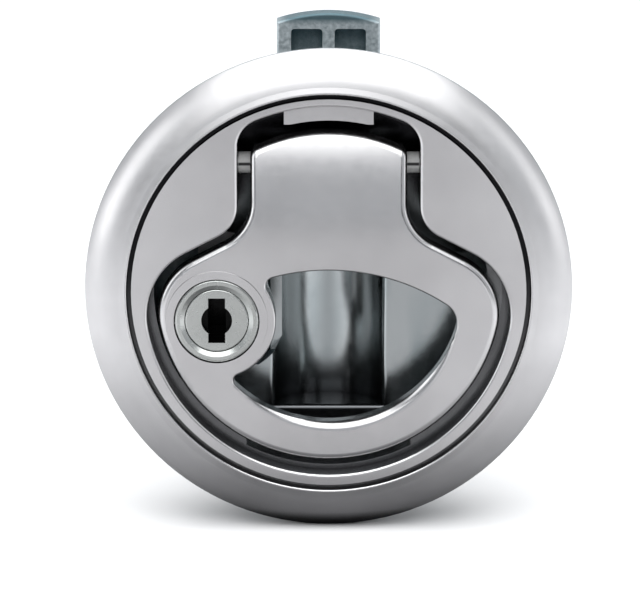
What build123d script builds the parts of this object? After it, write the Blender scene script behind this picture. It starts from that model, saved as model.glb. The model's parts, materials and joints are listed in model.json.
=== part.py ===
"""Flush hatch latch: a round bezel with a pull lever, a key lock in the lever and a spring bolt.

The lever hangs on a cross pin. Pulled at its lower rim, it swings its rear arm down, the arm
pushes the bolt's lug and the bolt slides in. A clamp ring behind the panel holds the body.
"""

import os
from math import cos, radians, sin, sqrt

from build123d import *

os.makedirs("parts", exist_ok=True)

# Frame: x to the right, y into the panel, z towards the bolt's nose.
# The origin lies on the axis of the panel hole, in the panel's front surface.

# Panel, bezel and barrel
panel_t = 16.0
barrel_r = 33.0
barrel_wall = 1.8
flange_w = 8.25
bezel_rim_t = 1.2
bezel_edge_r = 0.45
dome_w = 5.85
dome_bulge = 0.85
crest_w = 1.3
crest_edge_r = 0.4
crest_height = 6.6
groove_w = 0.8
groove_depth = 1.0
face_height = 6.0
recess_edge_r = 0.55
gasket_t = 1.0
gasket_hole_gap = 1.0
gasket_rim_gap = 1.25

# Lever
lever_t = 3.4
lever_seat_gap = 0.3
lever_inset = 3.8
neck_w = 26.3
neck_top_wall = 1.0
neck_corner_r = 1.8
neck_foot_z = 10.8
shoulder_slope = 0.52
waist_r = 8.0
shoulder_r = 10.5
grip_z = 0.2
grip_rim_w = 6.8
lever_edge_r = 1.15
opening_top_r = 36.0
opening_top_z = 4.0
opening_right_r = 4.0
opening_left_r = 1.5
opening_tip_r = 1.2
opening_edge_r = 0.4
lip_r = 1.65
lip_ease = 0.2
lip_shift = 2.3
lip_turn = -75.0
lip_reach = 62.0

# Gaps between the lever and its recess
neck_gap = 2.15
neck_top_gap = 4.2
shoulder_gap = 1.6
grip_gap = 1.7
grip_sag = 0.8
recess_corner_r = 4.8

# Finger cup
cup_inset = 4.2
cup_floor_y = 7.0
floor_t = 2.0
ledge_top_z = 4.6
notch_w = 28.0
notch_z = -20.0
notch_wall = 0.6
trough_r = 9.25
trough_wall = 1.75
trough_inset = 4.5
trough_top_z = 1.6
trough_end_t = 1.5
trough_back_gap = 0.5
trough_edge_r = 0.9
stop_w = 15.0
stop_gap = 1.8
stop_drop = 0.8
stop_y = 2.8
heel_gap = 0.3

# Pivot and arm
pivot_y = 0.4
pivot_inset = 6.4
pin_r = 1.25
pin_play = 0.05
pin_cover = 2.1
pin_chamfer = 0.25
hub_r = 3.2
hub_outer_x = 12.5
hub_inner_x = 7.0
bush_r = 1.8
bush_play = 0.1
arm_w = 6.0
arm_l = 16.0
arm_tip_r = 2.0
lever_angle = 45.0

# Bolt and its channel
bolt_w = 17.8
bolt_t = 10.0
bolt_front_gap = 1.5
bolt_proud = 2.35
bolt_crown_r = 26.0
bolt_edge_r = 0.5
bolt_side_play = 0.25
bolt_face_play = 0.2
lug_w = 9.0
lug_t = 3.4
lug_floor_gap = 0.5
lug_play = 0.8
lug_stop_gap = 0.3
nose_bevel_l = 9.1
nose_tip_t = 3.6
pocket_w = 5.4
pocket_rib_t = 2.1
pocket_top_t = 2.75
pocket_reach = 11.1
pocket_depth = 4.2
pocket_corner_r = 0.6
channel_wall = 4.45
channel_front_t = 2.0
channel_top_gap = 0.7
channel_seat_t = 2.0
tail_gap = 1.0
tower_wall = 2.4
slot_side_play = 0.3
slot_hub_gap = 0.6
slot_reach = 12.6
cover_t = 1.5
cover_corner_r = 2.0

# Bolt springs
bolt_spring_x = 5.2
bolt_spring_r = 2.3
bolt_spring_wire = 0.7
bolt_spring_turns = 8
spring_bore_play = 0.3
spring_bore_roof = 4.5
spring_seat_gap = 0.3

# Lever spring
lever_spring_r = 2.6
lever_spring_wire = 0.7
lever_spring_turns = 3.5
lever_spring_arm_gap = 0.95
lever_spring_hub_gap = 0.55
lever_spring_lug_gap = 0.6
lever_spring_hook_gap = 0.1
lever_spring_hook_w = 4.6
lever_spring_hole_r = 0.5
lever_spring_leg = 1.6
lever_spring_hole_play = 0.4

# Key lock
lock_inset = 10.3
lock_z = -4.67
lock_head_r = 7.2
lock_head_t = 1.3
lock_head_drop = 0.15
lock_head_edge_r = 0.5
lock_head_rim = 1.0
lock_head_lap = 0.6
lock_flat_cut = 0.45
lock_back_t = 1.3
lock_fit = 0.05
lock_pad_w = 1.4
lock_pad_height = 0.35
lock_pad_taper = 8.0
lock_boss_wall = 2.3
lock_boss_end_y = 4.0
lock_opening_gap = 0.5
nut_wall = 1.9
nut_t = 2.5
plug_wall = 1.2
plug_play = 0.05
plug_drop = 0.45
plug_edge_r = 0.3
plug_shank_r = 3.5
plug_square_w = 4.0
key_slot_w = 2.86
key_slot_h = 7.7
key_round_r = 2.6
key_depth = 12.0
wafer_count = 5
wafer_t = 1.0
wafer_w = 6.0
wafer_edge_gap = 0.03
wafer_window_gap = 0.1
wafer_play = 0.06
wafer_pitch = 2.1
wafer_start = 1.55
cam_t = 1.6
cam_gap = 0.5
cam_hub_r = 5.2
cam_reach = 12.3
cam_w = 7.0
cam_hole_play = 0.05
cam_washer_r = 3.4
cam_washer_t = 0.6
cam_screw_r = 1.25
cam_screw_head_r = 2.6
cam_screw_head_t = 1.7
cam_screw_l = 3.8
well_gap = 0.45
well_drop = 10.73
well_wall = 1.6
well_extra_y = 2.6
lock_cap_lap = 1.25
lock_cap_wall = 1.1
lock_cap_head_gap = 0.7
lock_cap_fit = 0.05

# Clamp behind the panel
clamp_t = 1.5
clamp_gap = 1.0
clamp_foot_w = 3.0
clamp_mouth_play = 1.6
ear_w = 11.0
boss_r = 4.4
boss_inset = 4.2
boss_proud = 1.5
clamp_angles = (30, 150, 270)
clamp_screw_r = 2.0
clamp_hole_r = 2.2
thread_play = 0.03
clamp_screw_grip = 8.0
clamp_head_r = 4.0
clamp_head_t = 2.6
washer_r = 4.5
washer_t = 0.8

# Cover screws
cover_screw_r = 1.25
cover_hole_r = 1.4
cover_screw_low = 3.6
cover_screw_high = 4.0
cover_screw_grip = 6.0
cover_head_r = 2.3
cover_head_t = 1.6
head_edge_r = 0.5
drive_w = 0.8
drive_depth = 1.0
drive_l_share = 0.65
screw_tip_share = 0.25
screw_hole_extra = 0.5

# Places that follow from the sizes: bezel and barrel
bezel_r = barrel_r + flange_w
crest_r = bezel_r - dome_w
groove_r = crest_r - crest_w
groove_inner_r = groove_r - groove_w
barrel_inner_r = barrel_r - barrel_wall
face_y = -face_height
flange_y = -gasket_t
ledge_y = face_y + lever_t + lever_seat_gap
floor_back_y = cup_floor_y + floor_t
boss_end_y = cup_floor_y + trough_r + trough_wall + trough_back_gap
barrel_end_y = boss_end_y - boss_proud
cup_r = barrel_inner_r - cup_inset
notch_r = barrel_inner_r - notch_wall
trough_low_z = trough_inset - cup_r

# Lever and pivot
lever_back_y = face_y + lever_t
neck_half = neck_w / 2
neck_top_r = barrel_r - neck_top_wall - neck_top_gap
grip_r = barrel_r - lever_inset
grip_opening_r = grip_r - grip_rim_w
opening_top_centre_z = opening_top_z - opening_top_r
stop_r = neck_top_r + stop_gap
heel_r = sqrt((pivot_y - face_y) ** 2 + pivot_inset**2) + heel_gap
pivot_z = neck_top_r - pivot_inset
pin_end_x = sqrt(barrel_r**2 - pivot_z**2) - pin_cover
hub_bore_r = pin_r + pin_play

# Bolt and channel
bolt_half = bolt_w / 2
bolt_front_y = boss_end_y + bolt_front_gap
bolt_back_y = bolt_front_y + bolt_t
bolt_top_z = bezel_r + bolt_proud
bolt_travel = arm_l * sin(radians(lever_angle))
lug_top_z = pivot_z - arm_tip_r - lug_play
lug_front_y = floor_back_y + lug_floor_gap
bolt_tail_z = lug_top_z - lug_t
nose_bevel_z = bolt_top_z - nose_bevel_l
pocket_low_z = bolt_top_z - pocket_reach
spring_bore_r = bolt_spring_r + spring_bore_play
spring_bore_top_z = pocket_low_z - spring_bore_roof
spring_y = (bolt_front_y + bolt_back_y) / 2
channel_half = bolt_half + bolt_side_play
channel_outer = channel_half + channel_wall
channel_y0 = bolt_front_y - bolt_face_play
channel_y1 = bolt_back_y + bolt_face_play
channel_front_y = channel_y0 - channel_front_t
channel_top_z = barrel_inner_r - channel_top_gap
channel_seat_z = bolt_tail_z - bolt_travel - tail_gap
channel_low_z = channel_seat_z - channel_seat_t
slot_half = lug_w / 2 + slot_side_play
arm_slot_half = arm_w / 2 + slot_side_play
slot_top_z = pivot_z + hub_r + slot_hub_gap
slot_low_z = pivot_z - slot_reach
slot_foot_z = bolt_tail_z - bolt_travel - 2 * slot_side_play
tower_half = slot_half + tower_wall
cover_screw_x = channel_half + channel_wall / 2
cover_screw_low_z = channel_seat_z + cover_screw_low
cover_screw_high_z = channel_top_z - cover_screw_high
cover_screw_z = (cover_screw_low_z + cover_screw_high_z) / 2
cover_screw_span = cover_screw_high_z - cover_screw_low_z
lever_spring_x0 = arm_w / 2 + lever_spring_arm_gap
lever_spring_x1 = hub_inner_x - lever_spring_hub_gap
lever_spring_hook_y = lug_front_y - lever_spring_wire - lever_spring_lug_gap
lever_spring_end_y = cup_floor_y + lever_spring_leg

# Lock
lock_x = lock_inset - grip_r
lock_body_r = lock_head_r - lock_head_lap
lock_body_flat_w = 2 * (lock_body_r - lock_flat_cut)
lock_body_end_y = floor_back_y
lock_head_y = face_y - lock_pad_height + lock_head_drop
lock_pad_r = lock_head_r + lock_pad_w
lock_boss_r = lock_head_r + lock_boss_wall
lock_opening_r = lock_boss_r + lock_opening_gap
nut_flats_w = 2 * (lock_body_r + nut_wall)
plug_r = lock_body_r - plug_wall
plug_front_y = lock_head_y + plug_drop
plug_end_y = lock_body_end_y - lock_back_t - plug_play
wafer_h = 2 * sqrt((plug_r - wafer_edge_gap) ** 2 - (wafer_w / 2) ** 2)
wafer_first_y = plug_front_y + wafer_start
cam_y = floor_back_y + cam_gap
cam_end_y = cam_y + cam_t
cam_head_end_y = cam_end_y + cam_washer_t + cam_screw_head_t
well_r = cam_reach + well_gap
well_low_z = lock_z - well_drop
well_outer_r = barrel_inner_r - well_wall
lock_cap_r = well_r + lock_cap_lap
lock_cap_end_y = cam_head_end_y + lock_cap_head_gap + lock_cap_wall

# Clamp
gasket_inner_r = barrel_r + gasket_hole_gap
clamp_inner_r = barrel_r + clamp_gap
clamp_outer_r = clamp_inner_r + clamp_foot_w
clamp_mouth_w = 2 * (channel_outer + clamp_mouth_play)
clamp_pcd_r = barrel_inner_r - boss_inset
ear_inner_r = clamp_pcd_r - boss_r

# Tolerance of the selectors that pick edges and corners by their place
near_by = 0.1


def plane_at(y):
    """Gives the sketch plane at one depth: the sketch's x is x and its y is z."""
    return Plane.XZ.offset(-y)


def depth(y_from, y_to):
    """Gives the extrusion amount on such a plane that reaches from one depth to another."""
    return y_from - y_to


def near(shapes, x, z):
    """Picks the corner of a sketch that lies nearest to a place."""
    return shapes.sort_by_distance((x, z))[0]


def latch_outline(half_w, foot_z, top_r, top_corner_r, round_r, round_z, inner_fillet, outer_fillet):
    """Draws the lever's form: a straight neck with an arched top on a round grip."""
    with BuildSketch() as outline:
        with Locations((0, round_z)):
            Circle(round_r)
        reach = 2 * round_r
        fall = shoulder_slope * (reach - half_w)
        with BuildSketch(mode=Mode.INTERSECT):
            with BuildLine():
                Polyline(
                    (half_w, foot_z),
                    (reach, foot_z - fall),
                    (reach, -reach),
                    (-reach, -reach),
                    (-reach, foot_z - fall),
                    (-half_w, foot_z),
                    close=True,
                )
            make_face()
        with BuildSketch() as neck:
            Circle(top_r)
            with Locations((0, top_r)):
                Rectangle(2 * half_w, 2 * (top_r - foot_z), mode=Mode.INTERSECT)
            top_z = sqrt(top_r**2 - half_w**2)
            fillet([near(neck.vertices(), side * half_w, top_z) for side in (-1, 1)], top_corner_r)
        waists = [near(outline.vertices(), side * half_w, foot_z) for side in (-1, 1)]
        fillet(waists, inner_fillet)
        corners = outline.vertices().filter_by(lambda v: abs(v.X) > 0.8 * round_r)
        fillet(corners, outer_fillet)
    return outline.sketch


# The lever's outline, and the recess round it, wider by the gaps
lever_form = latch_outline(
    neck_half, neck_foot_z, neck_top_r, neck_corner_r, grip_r, grip_z, waist_r, shoulder_r
)
shoulder_rise = shoulder_gap * sqrt(1 + shoulder_slope**2) - shoulder_slope * neck_gap
recess_form = latch_outline(
    neck_half + neck_gap,
    neck_foot_z + shoulder_rise,
    neck_top_r + neck_top_gap,
    recess_corner_r,
    grip_r + grip_gap,
    grip_z - grip_sag,
    waist_r - neck_gap,
    shoulder_r + grip_gap,
)

with BuildSketch() as well_form:
    with Locations((lock_x, lock_z)):
        Circle(well_r)
    Circle(well_outer_r, mode=Mode.INTERSECT)
    with Locations((lock_x, well_low_z + well_r)):
        Rectangle(3 * well_r, 2 * well_r, mode=Mode.INTERSECT)

with BuildSketch() as opening_form:
    Circle(grip_opening_r)
    with Locations((0, opening_top_centre_z)):
        Circle(opening_top_r, mode=Mode.INTERSECT)
    with Locations((lock_x, lock_z)):
        Circle(lock_opening_r, mode=Mode.SUBTRACT)
    fillet(opening_form.vertices().sort_by(Axis.X)[-1], opening_right_r)
    fillet(opening_form.vertices().filter_by(lambda v: v.X < 0).sort_by(Axis.Y)[-1], opening_left_r)
    fillet(opening_form.vertices().filter_by(lambda v: v.X < 0).sort_by(Axis.Y)[0], opening_tip_r)


with BuildPart() as housing:
    # Bezel: a face plate inside a domed ring with a fine groove between them
    rim_point = Vector(bezel_r, flange_y - bezel_rim_t)
    crest_point = Vector(crest_r, -crest_height)
    chord = crest_point - rim_point
    outward = Vector(-chord.Y, chord.X).normalized()
    dome_mid = (rim_point + crest_point) / 2 + outward * dome_bulge
    with BuildSketch(Plane.XY):
        with BuildLine():
            Polyline((0, flange_y), (bezel_r, flange_y), rim_point)
            ThreePointArc(rim_point, dome_mid, crest_point)
            Polyline(
                crest_point,
                (groove_r, -crest_height),
                (groove_r, face_y + groove_depth),
                (groove_inner_r, face_y + groove_depth),
                (groove_inner_r, face_y),
                (0, face_y),
                (0, flange_y),
            )
        make_face()
    revolve(axis=Axis.Y)
    rings = housing.edges().filter_by(GeomType.CIRCLE)
    fillet(rings.filter_by(lambda e: e.radius > bezel_r - near_by), bezel_edge_r)
    lip = housing.edges().filter_by(GeomType.CIRCLE).group_by(Axis.Y)[0].sort_by(SortBy.RADIUS)[0]
    fillet(lip, crest_edge_r)

    # Barrel, solid down to the back of the cup's floor
    with BuildSketch(plane_at(flange_y)):
        Circle(barrel_r)
    extrude(amount=depth(flange_y, floor_back_y))
    with BuildSketch(plane_at(floor_back_y)):
        Circle(barrel_r)
        Circle(barrel_inner_r, mode=Mode.SUBTRACT)
    extrude(amount=depth(floor_back_y, barrel_end_y))

    # Back of the trough
    with BuildSketch(Plane.XY.offset(trough_low_z - trough_end_t)):
        with Locations((0, cup_floor_y)):
            Circle(trough_r + trough_wall)
        with Locations((0, cup_floor_y - 2 * trough_r)):
            Rectangle(6 * trough_r, 4 * trough_r, mode=Mode.SUBTRACT)
    extrude(amount=trough_top_z - trough_low_z + 2 * trough_end_t)

    # Tower that carries the bolt's channel
    with BuildSketch(plane_at(floor_back_y)):
        with Locations((0, (slot_foot_z + channel_top_z) / 2)):
            Rectangle(2 * tower_half, channel_top_z - slot_foot_z + tower_wall)
        with Locations((0, (slot_top_z + channel_top_z) / 2)):
            Rectangle(2 * channel_outer, channel_top_z - slot_top_z)
        Circle(barrel_inner_r, mode=Mode.INTERSECT)
    extrude(amount=depth(floor_back_y, channel_front_y))
    with BuildSketch(plane_at(channel_front_y)):
        with Locations((0, (channel_low_z + channel_top_z) / 2)):
            RectangleRounded(2 * channel_outer, channel_top_z - channel_low_z, cover_corner_r)
    extrude(amount=depth(channel_front_y, channel_y1))

    # Bosses for the clamp's screws
    with BuildSketch(plane_at(floor_back_y)):
        with PolarLocations(clamp_pcd_r, len(clamp_angles), start_angle=clamp_angles[0]):
            Circle(boss_r)
    extrude(amount=depth(floor_back_y, boss_end_y))

    # Recess for the lever, with a ledge under the grip and a deep pocket round the neck
    with BuildSketch(plane_at(face_y)):
        add(recess_form)
    extrude(amount=depth(face_y, ledge_y), mode=Mode.SUBTRACT)
    rim_of_recess = (
        housing.edges()
        .filter_by_position(Axis.Y, face_y - near_by, face_y + near_by)
        .filter_by(lambda e: (e @ 0.5).length < groove_inner_r - near_by)
    )
    fillet(rim_of_recess, recess_edge_r)
    reach = 2 * barrel_r
    with BuildSketch(plane_at(ledge_y)):
        add(recess_form)
        Circle(barrel_inner_r, mode=Mode.INTERSECT)
        with Locations((0, ledge_top_z + barrel_r)):
            Rectangle(reach, reach, mode=Mode.INTERSECT)
    extrude(amount=depth(ledge_y, cup_floor_y), mode=Mode.SUBTRACT)

    # Stop block in the recess's top, hollowed in front for the heel of the lever
    with BuildSketch(plane_at(face_y + stop_drop)):
        Circle(barrel_inner_r + barrel_wall / 2)
        Circle(stop_r, mode=Mode.SUBTRACT)
        with Locations((0, barrel_r)):
            Rectangle(stop_w, barrel_r, mode=Mode.INTERSECT)
    extrude(amount=depth(face_y + stop_drop, cup_floor_y))
    with BuildSketch(Plane.YZ):
        with Locations((pivot_y, pivot_z)):
            Circle(heel_r)
        with Locations((stop_y - heel_r, pivot_z + pivot_inset + heel_r)):
            Rectangle(2 * heel_r, 2 * heel_r, mode=Mode.INTERSECT)
    extrude(amount=stop_w / 2, both=True, mode=Mode.SUBTRACT)

    # Finger cup, its bottom notch and its half-round trough
    with BuildSketch(plane_at(ledge_y)):
        Circle(cup_r)
        with BuildSketch() as notch:
            Circle(notch_r)
            with Locations((0, notch_z - notch_r / 2)):
                Rectangle(notch_w, notch_r, mode=Mode.INTERSECT)
        with Locations((0, ledge_top_z - barrel_r)):
            Rectangle(reach, reach, mode=Mode.INTERSECT)
    extrude(amount=depth(ledge_y, cup_floor_y), mode=Mode.SUBTRACT)
    with BuildSketch(Plane.XY.offset(trough_low_z)):
        with Locations((0, cup_floor_y)):
            Circle(trough_r)
    extrude(amount=trough_top_z - trough_low_z, mode=Mode.SUBTRACT)
    trough_mouth = (
        housing.edges()
        .filter_by_position(Axis.Y, cup_floor_y - near_by, cup_floor_y + near_by)
        .filter_by_position(Axis.Z, trough_low_z - near_by, trough_top_z + near_by)
        .filter_by(lambda e: abs((e @ 0.5).X) < trough_r + near_by)
    )
    fillet(trough_mouth, trough_edge_r)

    # Well for the lock, cut through the floor
    with BuildSketch(plane_at(ledge_y)):
        add(well_form.sketch)
    extrude(amount=depth(ledge_y, floor_back_y + well_extra_y), mode=Mode.SUBTRACT)

    # Way for the lever's arm and the bolt's lug; the channel's front wall stops the lug
    with BuildSketch(plane_at(cup_floor_y)):
        with Locations((0, (slot_low_z + slot_top_z) / 2)):
            Rectangle(2 * slot_half, slot_top_z - slot_low_z)
    extrude(amount=depth(cup_floor_y, floor_back_y), mode=Mode.SUBTRACT)
    with BuildSketch(plane_at(floor_back_y)):
        with Locations((0, (slot_foot_z + slot_top_z) / 2)):
            Rectangle(2 * slot_half, slot_top_z - slot_foot_z)
    extrude(amount=depth(floor_back_y, channel_front_y), mode=Mode.SUBTRACT)
    lug_stop_z = lug_top_z + lug_stop_gap
    with BuildSketch(plane_at(channel_front_y)):
        with Locations((0, (slot_foot_z + lug_stop_z) / 2)):
            Rectangle(2 * slot_half, lug_stop_z - slot_foot_z)
        with Locations((0, (slot_foot_z + slot_top_z) / 2)):
            Rectangle(2 * arm_slot_half, slot_top_z - slot_foot_z)
    extrude(amount=depth(channel_front_y, channel_y0), mode=Mode.SUBTRACT)

    # Channel for the bolt, open at the back and at the top
    with BuildSketch(plane_at(channel_y0)):
        with Locations((0, (channel_seat_z + bolt_top_z) / 2)):
            Rectangle(2 * channel_half, bolt_top_z - channel_seat_z)
    extrude(amount=depth(channel_y0, channel_y1), mode=Mode.SUBTRACT)

    # Cross hole for the lever's pin, spring anchor and screw holes
    with BuildSketch(Plane.YZ):
        with Locations((pivot_y, pivot_z)):
            Circle(pin_r)
    extrude(amount=barrel_r, both=True, mode=Mode.SUBTRACT)
    with BuildSketch(plane_at(cup_floor_y)):
        with Locations((lever_spring_x1, pivot_z + lever_spring_r)):
            Circle(lever_spring_hole_r)
    extrude(amount=depth(cup_floor_y, lever_spring_end_y + lever_spring_hole_play), mode=Mode.SUBTRACT)
    with BuildSketch(plane_at(boss_end_y)):
        with PolarLocations(clamp_pcd_r, len(clamp_angles), start_angle=clamp_angles[0]):
            Circle(clamp_screw_r + thread_play)
    extrude(amount=clamp_screw_grip + screw_hole_extra, mode=Mode.SUBTRACT)
    with BuildSketch(plane_at(channel_y1)):
        with Locations((0, cover_screw_z)):
            with GridLocations(2 * cover_screw_x, cover_screw_span, 2, 2):
                Circle(cover_screw_r + thread_play)
    extrude(amount=cover_screw_grip + screw_hole_extra, mode=Mode.SUBTRACT)
housing.part.label = "housing"
export_step(housing.part, "parts/housing.step")


with BuildPart() as bezel_gasket:
    with BuildSketch(plane_at(flange_y)):
        Circle(bezel_r - gasket_rim_gap)
        Circle(gasket_inner_r, mode=Mode.SUBTRACT)
    extrude(amount=depth(flange_y, 0))
bezel_gasket.part.label = "bezel_gasket"
export_step(bezel_gasket.part, "parts/bezel_gasket.step")


with BuildPart() as lever:
    # Plate in the recess's form, its front edge rounded
    with BuildSketch(plane_at(lever_back_y)):
        add(lever_form)
    extrude(amount=lever_t)
    fillet(lever.faces().sort_by(Axis.Y)[0].edges(), lever_edge_r)

    # Pad and boss for the lock
    with BuildSketch(plane_at(face_y - lock_pad_height)):
        with Locations((lock_x, lock_z)):
            Circle(lock_pad_r)
    extrude(amount=depth(face_y - lock_pad_height, face_y + lever_edge_r), taper=-lock_pad_taper)
    with BuildSketch(plane_at(lever_back_y)):
        with Locations((lock_x, lock_z)):
            Circle(lock_boss_r)
    extrude(amount=depth(lever_back_y, lock_boss_end_y))

    # Hub on the cross pin, open on one side of the arm for the spring's coil
    with BuildSketch(Plane.YZ.offset(-hub_outer_x)):
        with Locations((pivot_y, pivot_z)):
            Circle(hub_r)
        with Locations(((lever_back_y + pivot_y) / 2, pivot_z)):
            Rectangle(pivot_y - lever_back_y, 2 * hub_r)
    extrude(amount=hub_outer_x - arm_w / 2)
    with BuildSketch(Plane.YZ.offset(hub_inner_x)):
        with Locations((pivot_y, pivot_z)):
            Circle(hub_r)
        with Locations(((lever_back_y + pivot_y) / 2, pivot_z)):
            Rectangle(pivot_y - lever_back_y, 2 * hub_r)
    extrude(amount=hub_outer_x - hub_inner_x)

    # Arm that pushes the bolt, tapered from the hub to a round tip
    with BuildSketch(Plane.YZ):
        with Locations((pivot_y, pivot_z)):
            Circle(hub_r)
        with Locations((pivot_y + arm_l, pivot_z)):
            Circle(arm_tip_r)
        make_hull()
        with Locations(((lever_back_y + pivot_y) / 2, pivot_z)):
            Rectangle(pivot_y - lever_back_y, 2 * hub_r)
    extrude(amount=arm_w / 2, both=True)

    # Finger opening with a softened front edge
    with BuildSketch(plane_at(lever_back_y)):
        add(opening_form.sketch)
    extrude(amount=2 * lever_t, mode=Mode.SUBTRACT)
    opening_edges = (
        lever.edges()
        .filter_by_position(Axis.Y, face_y - near_by / 10, face_y + near_by / 10)
        .filter_by(lambda e: (e @ 0.5).Z < opening_top_z + near_by)
        .filter_by(lambda e: sqrt((e @ 0.5).X ** 2 + (e @ 0.5).Z ** 2) < grip_opening_r + near_by)
        .filter_by(lambda e: (e @ 0.5).X > lock_x + lock_opening_r / 4)
    )
    fillet(opening_edges, opening_edge_r)

    # Round lip under the fingers, deepest at the bottom and run out at both ends
    lip_a = radians(lip_turn)
    lip_middle = (lip_shift * cos(lip_a), 0, lip_shift * sin(lip_a))
    start_a = radians(lip_turn + lip_reach)
    start_way = (cos(start_a), 0, sin(start_a))
    start_facing = (-sin(start_a), 0, cos(start_a))
    lip_wall_r = grip_opening_r - lip_shift
    with BuildSketch(Plane(lip_middle, x_dir=start_way, z_dir=start_facing)):
        with BuildLine():
            Polyline(
                (lip_wall_r, face_y + lip_r),
                (lip_wall_r - lip_ease, face_y + lip_r),
                (lip_wall_r - lip_ease, face_y - lip_r),
                (lip_wall_r + lip_r, face_y - lip_r),
                (lip_wall_r + lip_r, face_y),
            )
            RadiusArc((lip_wall_r + lip_r, face_y), (lip_wall_r, face_y + lip_r), lip_r)
        make_face()
    revolve(axis=Axis(lip_middle, (0, 1, 0)), revolution_arc=2 * lip_reach, mode=Mode.SUBTRACT)

    # Bores for the pin and for the lock's flatted body, with a seat for its head
    with BuildSketch(Plane.YZ):
        with Locations((pivot_y, pivot_z)):
            Circle(hub_bore_r)
    extrude(amount=neck_w, both=True, mode=Mode.SUBTRACT)
    with BuildSketch(plane_at(face_y - lock_pad_height)):
        with Locations((lock_x, lock_z)):
            Circle(lock_head_r + lock_fit)
    extrude(amount=depth(face_y - lock_pad_height, lock_head_y + lock_head_t), mode=Mode.SUBTRACT)
    with BuildSketch(plane_at(lock_head_y)):
        with Locations((lock_x, lock_z)):
            Circle(lock_body_r + lock_fit)
            Rectangle(lock_body_flat_w + 2 * lock_fit, 3 * lock_body_r, mode=Mode.INTERSECT)
    extrude(amount=depth(lock_head_y, lock_boss_end_y), mode=Mode.SUBTRACT)
lever.part.label = "lever"
export_step(lever.part, "parts/lever.step")


with BuildPart() as lever_pin:
    with BuildSketch(Plane.YZ):
        with Locations((pivot_y, pivot_z)):
            Circle(pin_r)
    extrude(amount=pin_end_x, both=True)
    chamfer(lever_pin.edges().filter_by(GeomType.CIRCLE), pin_chamfer)
lever_pin.part.label = "lever_pin"
export_step(lever_pin.part, "parts/lever_pin.step")


def pivot_bush(side):
    """Makes the spacer that keeps the hub off one wall of the recess."""
    length = neck_half + neck_gap - hub_outer_x - 2 * bush_play
    with BuildPart() as bush:
        with BuildSketch(Plane.YZ.offset(side * (hub_outer_x + bush_play))):
            with Locations((pivot_y, pivot_z)):
                Circle(bush_r)
                Circle(hub_bore_r, mode=Mode.SUBTRACT)
        extrude(amount=side * length)
    return bush.part


pivot_bush_left = pivot_bush(-1)
pivot_bush_left.label = "pivot_bush_left"
export_step(pivot_bush_left, "parts/pivot_bush_left.step")
pivot_bush_right = pivot_bush(1)
pivot_bush_right.label = "pivot_bush_right"
export_step(pivot_bush_right, "parts/pivot_bush_right.step")


with BuildPart() as lever_spring:
    # Coil round the pin, one leg in the housing's floor, the other hooked under the arm
    coil_l = lever_spring_x1 - lever_spring_x0
    spring_wire_r = lever_spring_wire / 2
    arm_under = hub_r - (hub_r - arm_tip_r) * (lever_spring_hook_y - pivot_y) / arm_l
    hook_z = pivot_z - arm_under - spring_wire_r - lever_spring_hook_gap
    anchor_z = pivot_z + lever_spring_r
    with BuildLine():
        coil = Helix(
            coil_l / lever_spring_turns,
            coil_l,
            lever_spring_r,
            center=(lever_spring_x1, pivot_y, pivot_z),
            direction=(-1, 0, 0),
        )
    with BuildSketch(Plane(coil @ 0, z_dir=coil % 0)):
        Circle(spring_wire_r)
    sweep()
    with BuildLine():
        hook = FilletPolyline(
            coil @ 1,
            (lever_spring_x0, lever_spring_hook_y, hook_z),
            (lever_spring_x0 - lever_spring_hook_w, lever_spring_hook_y, hook_z),
            radius=lever_spring_wire,
        )
    with BuildSketch(Plane(hook @ 0, z_dir=hook % 0)):
        Circle(spring_wire_r)
    sweep()
    with BuildSketch(plane_at(pivot_y)):
        with Locations((lever_spring_x1, anchor_z)):
            Circle(spring_wire_r)
    extrude(amount=depth(pivot_y, lever_spring_end_y))
lever_spring.part.label = "lever_spring"
export_step(lever_spring.part, "parts/lever_spring.step")


def bolt_spring(side):
    """Makes the coil that pushes the bolt out, on one side of the channel."""
    low_z = channel_seat_z + spring_seat_gap
    high_z = spring_bore_top_z - spring_seat_gap
    length = high_z - low_z - bolt_spring_wire
    wire_r = bolt_spring_wire / 2
    with BuildPart() as spring:
        with BuildLine(Plane((side * bolt_spring_x, spring_y, low_z + wire_r))):
            coil = Helix(length / bolt_spring_turns, length, bolt_spring_r - wire_r)
        with BuildSketch(Plane(coil @ 0, z_dir=coil % 0)):
            Circle(wire_r)
        sweep()
    return spring.part


bolt_spring_left = bolt_spring(-1)
bolt_spring_left.label = "bolt_spring_left"
export_step(bolt_spring_left, "parts/bolt_spring_left.step")
bolt_spring_right = bolt_spring(1)
bolt_spring_right.label = "bolt_spring_right"
export_step(bolt_spring_right, "parts/bolt_spring_right.step")


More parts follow.
